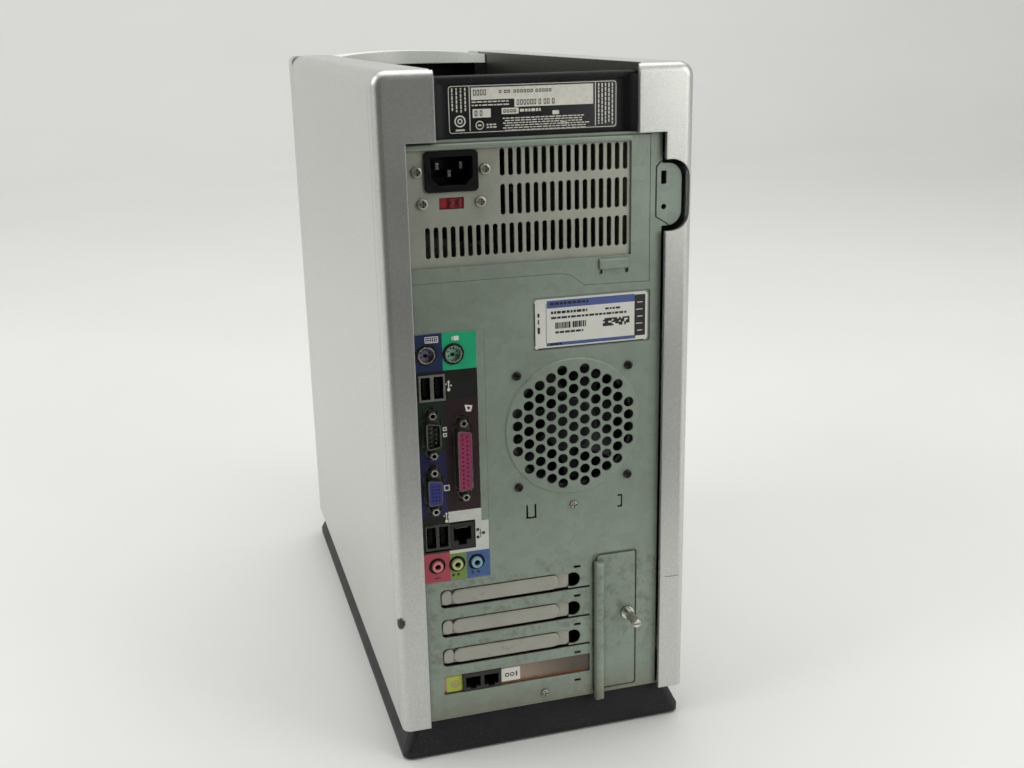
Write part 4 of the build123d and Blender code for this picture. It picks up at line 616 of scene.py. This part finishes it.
slab(signs, [[(43.2, 234.8), (48.0, 235.6), (47.2, 231.4), (44.2, 231.0)],
             [(44.6, 234.0), (46.6, 234.3), (46.2, 232.6), (45.0, 232.4)]], SIGN_Y)
for dz in (-1.9, 1.9):
    square, eye = (circle(60.6, 219.9 + dz, r, 4, math.pi / 4) for r in (1.7, 0.8))
    slab(signs, [square, eye], SIGN_Y)
ring_sign(60.7, 184.2, 1.8, 1.9, 0.7)
finished("io_signs_white", signs, "white_ink")
signs = bmesh.new()
for cx, cz in ((42.2, 154.3), (42.2, 149.3), (38.6, 151.8)):
    slab(signs, [oblong((cx - 0.9, cx + 0.9), (cz - 0.9, cz + 0.9))], SIGN_Y)
slab(signs, [oblong((40.3, 40.7), (149.1, 154.5))], SIGN_Y)
slab(signs, [oblong((38.9, 41.7), (151.6, 152.0))], SIGN_Y)
for cx in (58.6, 55.4, 46.4, 42.6):
    slab(signs, [circle(cx, 126.2, 0.9, 12)], SIGN_Y)
slab(signs, [oblong((66.6, 70.6), (125.2, 125.9), 0.3)], SIGN_Y)
finished("io_signs_dark", signs, "ink")

# ---------------------------------------------------------------- rating label and product label


def lines(bm, x, z, y, count, height, gap, shortest=0.55):
    """Rows of short dashes that read as fine print from afar."""
    for i in range(count):
        top = z - i * (height + gap)
        at = x[1]
        stop = x[1] - (x[1] - x[0]) * (1.0 if i % 3 else rng.uniform(shortest, 1.0))
        while at > stop + 0.8:
            width = min(rng.uniform(1.1, 3.4), at - stop)
            slab(bm, [oblong((at - width, at), (top - height, top))], y)
            at -= width + 0.55


def columns(bm, x, z, y, count, width, pitch):
    """Columns of short upright dashes, starting at x and stepping towards -X."""
    for k in range(count):
        left, at = x - k * pitch, z[1]
        while at > z[0] + 1.0:
            length = min(rng.uniform(0.8, 2.6), at - z[0])
            slab(bm, [oblong((left - width, left), (at - length, at))], y)
            at -= length + 0.5


RATING_Y = 188.17
base = bmesh.new()
slab(base, [oblong((-50.2, 51.0), (393.4, 420.6), 2.0)], (188.02, RATING_Y))
rating = finished("rating_label", base, "label_black")
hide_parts("rear_labels")
ON_RATING = (RATING_Y, RATING_Y + 0.04)
boxes = bmesh.new()
slab(boxes, [oblong((-49.6, 50.4), (394.0, 420.0), 1.6), oblong((-49.2, 50.0), (394.4, 419.6), 1.4)],
     ON_RATING)
slab(boxes, [oblong((38.0, 38.5), (395.0, 419.4))], ON_RATING)
slab(boxes, [oblong((-37.0, -36.5), (395.0, 419.4))], ON_RATING)
slab(boxes, [[(37.2, 412.0), (12.0, 412.0), (12.0, 407.4), (-35.4, 407.4), (-35.4, 418.8), (37.2, 418.8)]],
     ON_RATING)
slab(boxes, [oblong((26.0, 36.6), (402.2, 407.0), 0.3)], ON_RATING)
slab(boxes, [oblong((9.6, 19.6), (403.6, 407.0), 0.3)], ON_RATING)
slab(boxes, [oblong((-14.6, -10.6), (402.4, 404.6), 0.3)], ON_RATING)
slab(boxes, [oblong((-19.2, -15.6), (396.6, 398.8), 0.3)], ON_RATING)
slab(boxes, [circle(32.6, 398.0, 2.5, 20), circle(32.6, 398.0, 1.9, 20)], ON_RATING)
slab(boxes, [oblong((31.6, 33.6), (397.5, 398.5), 0.3)], ON_RATING)
for top in (411.2, 409.4):
    lines(boxes, (14.0, 37.0), top, ON_RATING, 1, 0.7, 0.6, 0.9)
lines(boxes, (-4.0, 8.8), 406.2, ON_RATING, 1, 1.6, 0.6, 0.9)
for i in range(6):
    lines(boxes, (-34.0, 19.0 - 1.2 * (i % 2)), 401.6 - 1.35 * i, ON_RATING, 1, 0.6, 0.6, 0.9)
lines(boxes, (22.0, 28.6), 398.6, ON_RATING, 2, 0.8, 0.7, 0.8)
columns(boxes, -38.4, (395.6, 418.8), ON_RATING, 5, 0.75, 2.1)
columns(boxes, 48.6, (405.4, 418.8), ON_RATING, 4, 0.8, 2.5)
slab(boxes, [circle(44.0, 400.6, 3.3, 28), circle(44.0, 400.6, 2.5, 28)], ON_RATING)
slab(boxes, [circle(44.0, 400.6, 1.5, 20), circle(44.0, 400.6, 0.8, 20)], ON_RATING)
slab(boxes, [oblong((41.4, 46.6), (395.2, 396.2))], ON_RATING)
finished("rating_label_print", boxes, "white_ink")
dark = bmesh.new()
ON_BOX = (RATING_Y + 0.04, RATING_Y + 0.07)
FIGURE_ROWS = (((29.0, 36.0), 417.6, 3.2), ((14.0, 21.0), 417.0, 1.8), ((-10.0, 12.4), 417.0, 1.8),
               ((-12.0, 10.6), 411.4, 3.0), ((29.0, 35.4), 406.2, 3.0), ((11.0, 18.6), 406.2, 1.8))
for x, top, height in FIGURE_ROWS:
    at = x[1]
    while at > x[0] + 0.8:
        eye = oblong((at - 1.1, at - 0.4), (top - height + 0.5, top - 0.5))
        slab(dark, [oblong((at - 1.5, at), (top - height, top), 0.3), eye], ON_BOX)
        at -= rng.choice((2.0, 2.0, 3.0))
finished("rating_label_figures", dark, "ink")

PRODUCT_Y = 192.37
base = bmesh.new()
slab(base, [oblong((-68.9, 3.6), (264.9, 295.5), 2.4)], (192.22, PRODUCT_Y))
finished("product_label", base, "label_white")
ON_PRODUCT = (PRODUCT_Y, PRODUCT_Y + 0.04)
ON_BAND = (PRODUCT_Y + 0.04, PRODUCT_Y + 0.07)
blue = bmesh.new()
slab(blue, [oblong((-60.4, -4.4), (289.6, 294.2), 0.4)], ON_PRODUCT)
slab(blue, [oblong((-61.0, -4.0), (266.4, 268.4), 0.4)], ON_PRODUCT)
finished("product_label_bands", blue, "label_blue")
dark = bmesh.new()
slab(dark, [oblong((3.0, 3.6), (267.0, 293.4))], ON_PRODUCT)
slab(dark, [oblong((-66.6, 1.4), (264.9, 265.5))], ON_PRODUCT)
slab(dark, [oblong((-67.4, -60.4), (268.0, 293.6), 0.5)], ON_PRODUCT)
lines(dark, (-34.0, -6.4), 293.0, ON_BAND, 1, 1.5, 1.0, 0.9)
lines(dark, (-14.0, -6.4), 268.0, ON_BAND, 1, 1.3, 1.0, 0.9)
lines(dark, (-30.0, -7.0), 287.6, ON_PRODUCT, 1, 1.6, 1.0, 0.9)
lines(dark, (-52.0, -41.4), 287.2, ON_PRODUCT, 1, 1.2, 1.0, 0.9)
lines(dark, (-57.4, -7.0), 284.2, ON_PRODUCT, 1, 1.3, 1.0, 0.9)
for first, last in ((-18.6, -9.6), (-29.0, -20.6)):
    at = last
    while at > first:
        width = rng.choice((0.4, 0.6, 0.9, 1.2))
        slab(dark, [oblong((at - width, at), (276.8, 280.6))], ON_PRODUCT)
        at -= width + rng.choice((0.3, 0.3, 0.5))
lines(dark, (-29.0, -9.6), 275.2, ON_PRODUCT, 1, 1.3, 1.0, 0.9)
for i in range(15):
    for k in range(5):
        if rng.random() < 0.66:
            cx, cz = -56.6 + 1.15 * i, 276.2 + 1.0 * k
            slab(dark, [oblong((cx - 0.58, cx + 0.58), (cz - 0.5, cz + 0.5))], ON_PRODUCT)
for i in range(22):
    slab(dark, [oblong((-4.2, -3.7), (268.6 + 1.1 * i, 269.2 + 1.1 * i))], ON_PRODUCT)
for x, z in (((0.2, 1.5), (284.6, 287.0)), ((0.5, 1.3), (280.4, 283.4)), ((0.0, 1.5), (274.6, 278.4))):
    slab(dark, [oblong(x, z, 0.3)], ON_PRODUCT)
finished("product_label_figures", dark, "ink")
pale = bmesh.new()
for i in range(5):
    z = 271.0 + 4.4 * i
    slab(pale, [oblong((-65.6, -62.2 + 0.8 * (i % 2)), (z, z + 0.5))], (PRODUCT_Y + 0.04, PRODUCT_Y + 0.06))
finished("product_label_pale_marks", pale, "white_ink")

# ---------------------------------------------------------------- crosses on the voltage slider
low, high = (Vector(v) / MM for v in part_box("voltage_slider"))
mid_x, mid_z = (low.x + high.x) / 2, (low.z + high.z) / 2
STROKE = ((-1.5, -1), (-0.9, -1), (1.5, 1), (0.9, 1))
MARK_HALF_H = 1.9
bm = bmesh.new()
for side in (-1, 1):
    for dx in (-2.0, 2.0):
        stroke = [(mid_x + dx + sx, mid_z + side * sz * MARK_HALF_H) for sx, sz in STROKE]
        slab(bm, [stroke], (high.y - 0.02, high.y + 0.02))
finished("voltage_slider_mark", bm, "ink", body="voltage_slider")

# ---------------------------------------------------------------- modem bracket stickers
STICKER_Y = (191.72, 191.86)
ON_STICKER = (191.86, 191.9)
bm = bmesh.new()
slab(bm, [oblong((55.0, 65.4), (44.4, 55.0), 0.6), circle(60.0, 49.6, 2.7, 16)], STICKER_Y)
slab(bm, [circle(60.0, 49.6, 1.7, 16), circle(60.0, 49.6, 0.9, 12)], STICKER_Y)
finished("modem_line_label", bm, "label_lime")
bm = bmesh.new()
slab(bm, [oblong((16.6, 29.2), (45.4, 54.6), 0.6)], STICKER_Y)
finished("modem_phone_label", bm, "label_white")
bm = bmesh.new()
slab(bm, [circle(25.4, 49.8, 1.5, 14), circle(25.4, 49.8, 0.8, 12)], ON_STICKER)
slab(bm, [circle(22.0, 49.8, 1.5, 14), circle(22.0, 49.8, 0.8, 12)], ON_STICKER)
slab(bm, [oblong((18.6, 19.6), (48.2, 51.6))], ON_STICKER)
finished("modem_phone_sign", bm, "ink")

# ---------------------------------------------------------------- stage, light and camera


def revolve(name, profile, steps=96):
    """Surface of revolution about Z from (radius, height) points."""
    bm = bmesh.new()
    rings = []
    for r, z in profile:
        turns = [math.tau * i / steps for i in range(steps)]
        rings.append([bm.verts.new((r * math.cos(turn), r * math.sin(turn), z)) for turn in turns])
    bm.faces.new(rings[0])
    for low, high in zip(rings, rings[1:]):
        for i in range(steps):
            bm.faces.new((low[i], high[i], high[(i + 1) % steps], low[(i + 1) % steps]))
    mesh = bpy.data.meshes.new(name)
    bm.to_mesh(mesh)
    bm.free()
    for polygon in mesh.polygons:
        polygon.use_smooth = True
    obj = bpy.data.objects.new(name, mesh)
    bpy.context.scene.collection.objects.link(obj)
    return obj


FLOOR_PROFILE = [(0.5, 0), (2.0, 0), (3.2, 0), (3.6, 0.02), (4.0, 0.1), (4.5, 0.35), (5.0, 0.9), (5.3, 1.7),
                 (5.4, 2.8)]
floor = revolve("studio_floor", FLOOR_PROFILE)
floor.data.materials.append(surface("studio_paper", (0.80, 0.80, 0.79), 0.75, mottle=0.012, mottle_size=0.4,
                                    grain=0.05, grain_size=0.002, specular=0.15))

world = bpy.data.worlds.new("studio")
bpy.context.scene.world = world
world.use_nodes = True
world.node_tree.nodes["Background"].inputs["Color"].default_value = (1.0, 1.0, 0.96, 1.0)
world.node_tree.nodes["Background"].inputs["Strength"].default_value = 0.5


def reflection_card(name, x, y, z, material):
    """Upright card that only reflections and bounced light see."""
    bm = bmesh.new()
    bm.faces.new([bm.verts.new((px, y, pz)) for px, pz in oblong(x, z)])
    mesh = bpy.data.meshes.new(name)
    bm.to_mesh(mesh)
    bm.free()
    mesh.materials.append(material)
    card = bpy.data.objects.new(name, mesh)
    bpy.context.scene.collection.objects.link(card)
    card.visible_camera = False
    card.visible_shadow = False


ROOM_Y, ROOM_EDGE_X = 0.62, -0.22
WINDOW_Y = 0.95
reflection_card("room_card", (ROOM_EDGE_X, 0.8), ROOM_Y, (0.0, 1.0), finishes["rubber"])
reflection_card("room_corner_card", (-0.42, ROOM_EDGE_X), ROOM_Y, (0.0, 0.17), finishes["rubber"])
window = bpy.data.materials.new("window_light")
window.use_nodes = True
window.node_tree.nodes.clear()
glow = add(window.node_tree, "ShaderNodeEmission", {"Color": (1.0, 1.0, 0.97), "Strength": 2.4})
window_out = add(window.node_tree, "ShaderNodeOutputMaterial")
window.node_tree.links.new(glow.outputs[0], window_out.inputs["Surface"])
reflection_card("window_card", (-0.75, -0.27), WINDOW_Y, (0.27, 0.75), window)


def area_light(name, place, aim, size, power, colour=(1, 1, 1)):
    data = bpy.data.lights.new(name, "AREA")
    data.shape = "RECTANGLE"
    data.size, data.size_y = size
    data.energy = power
    data.color = colour
    obj = bpy.data.objects.new(name, data)
    obj.location = place
    obj.rotation_euler = (Vector(aim) - Vector(place)).to_track_quat("-Z", "Y").to_euler()
    bpy.context.scene.collection.objects.link(obj)


area_light("key", (2.4, 0.1, 1.8), (0, 0, 0.2), (1.8, 1.8), 30, (1.0, 1.0, 0.97))
area_light("overhead", (-0.3, -0.2, 2.8), (0, 0, 0.2), (2.6, 2.6), 37)
area_light("right_fill", (-1.7, 1.7, 1.3), (0, 0.1, 0.25), (1.2, 1.6), 13, (1.0, 1.0, 0.95))
area_light("backdrop", (0, -3.2, 2.4), (0, -5.0, 0.5), (5.0, 0.8), 20)

CAMERA_AT = Vector((0.2102, 0.8629, 0.4537))
FORWARD = Vector((-0.26387, -0.92106, -0.28640)).normalized()
ROLL = math.radians(-1.214)
right = FORWARD.cross(Vector((0, 0, 1))).normalized()
up = right.cross(FORWARD)
right, up = right * math.cos(ROLL) + up * math.sin(ROLL), up * math.cos(ROLL) - right * math.sin(ROLL)
camera_data = bpy.data.cameras.new("camera")
camera_data.lens = 42.61
camera_data.sensor_width = 36.0
camera_data.clip_start = 0.01
camera = bpy.data.objects.new("camera", camera_data)
bpy.context.scene.collection.objects.link(camera)
camera.matrix_world = Matrix((
    (right.x, up.x, -FORWARD.x, CAMERA_AT.x),
    (right.y, up.y, -FORWARD.y, CAMERA_AT.y),
    (right.z, up.z, -FORWARD.z, CAMERA_AT.z),
    (0, 0, 0, 1)))
bpy.context.scene.camera = camera
bpy.context.scene.view_settings.view_transform = "Standard"
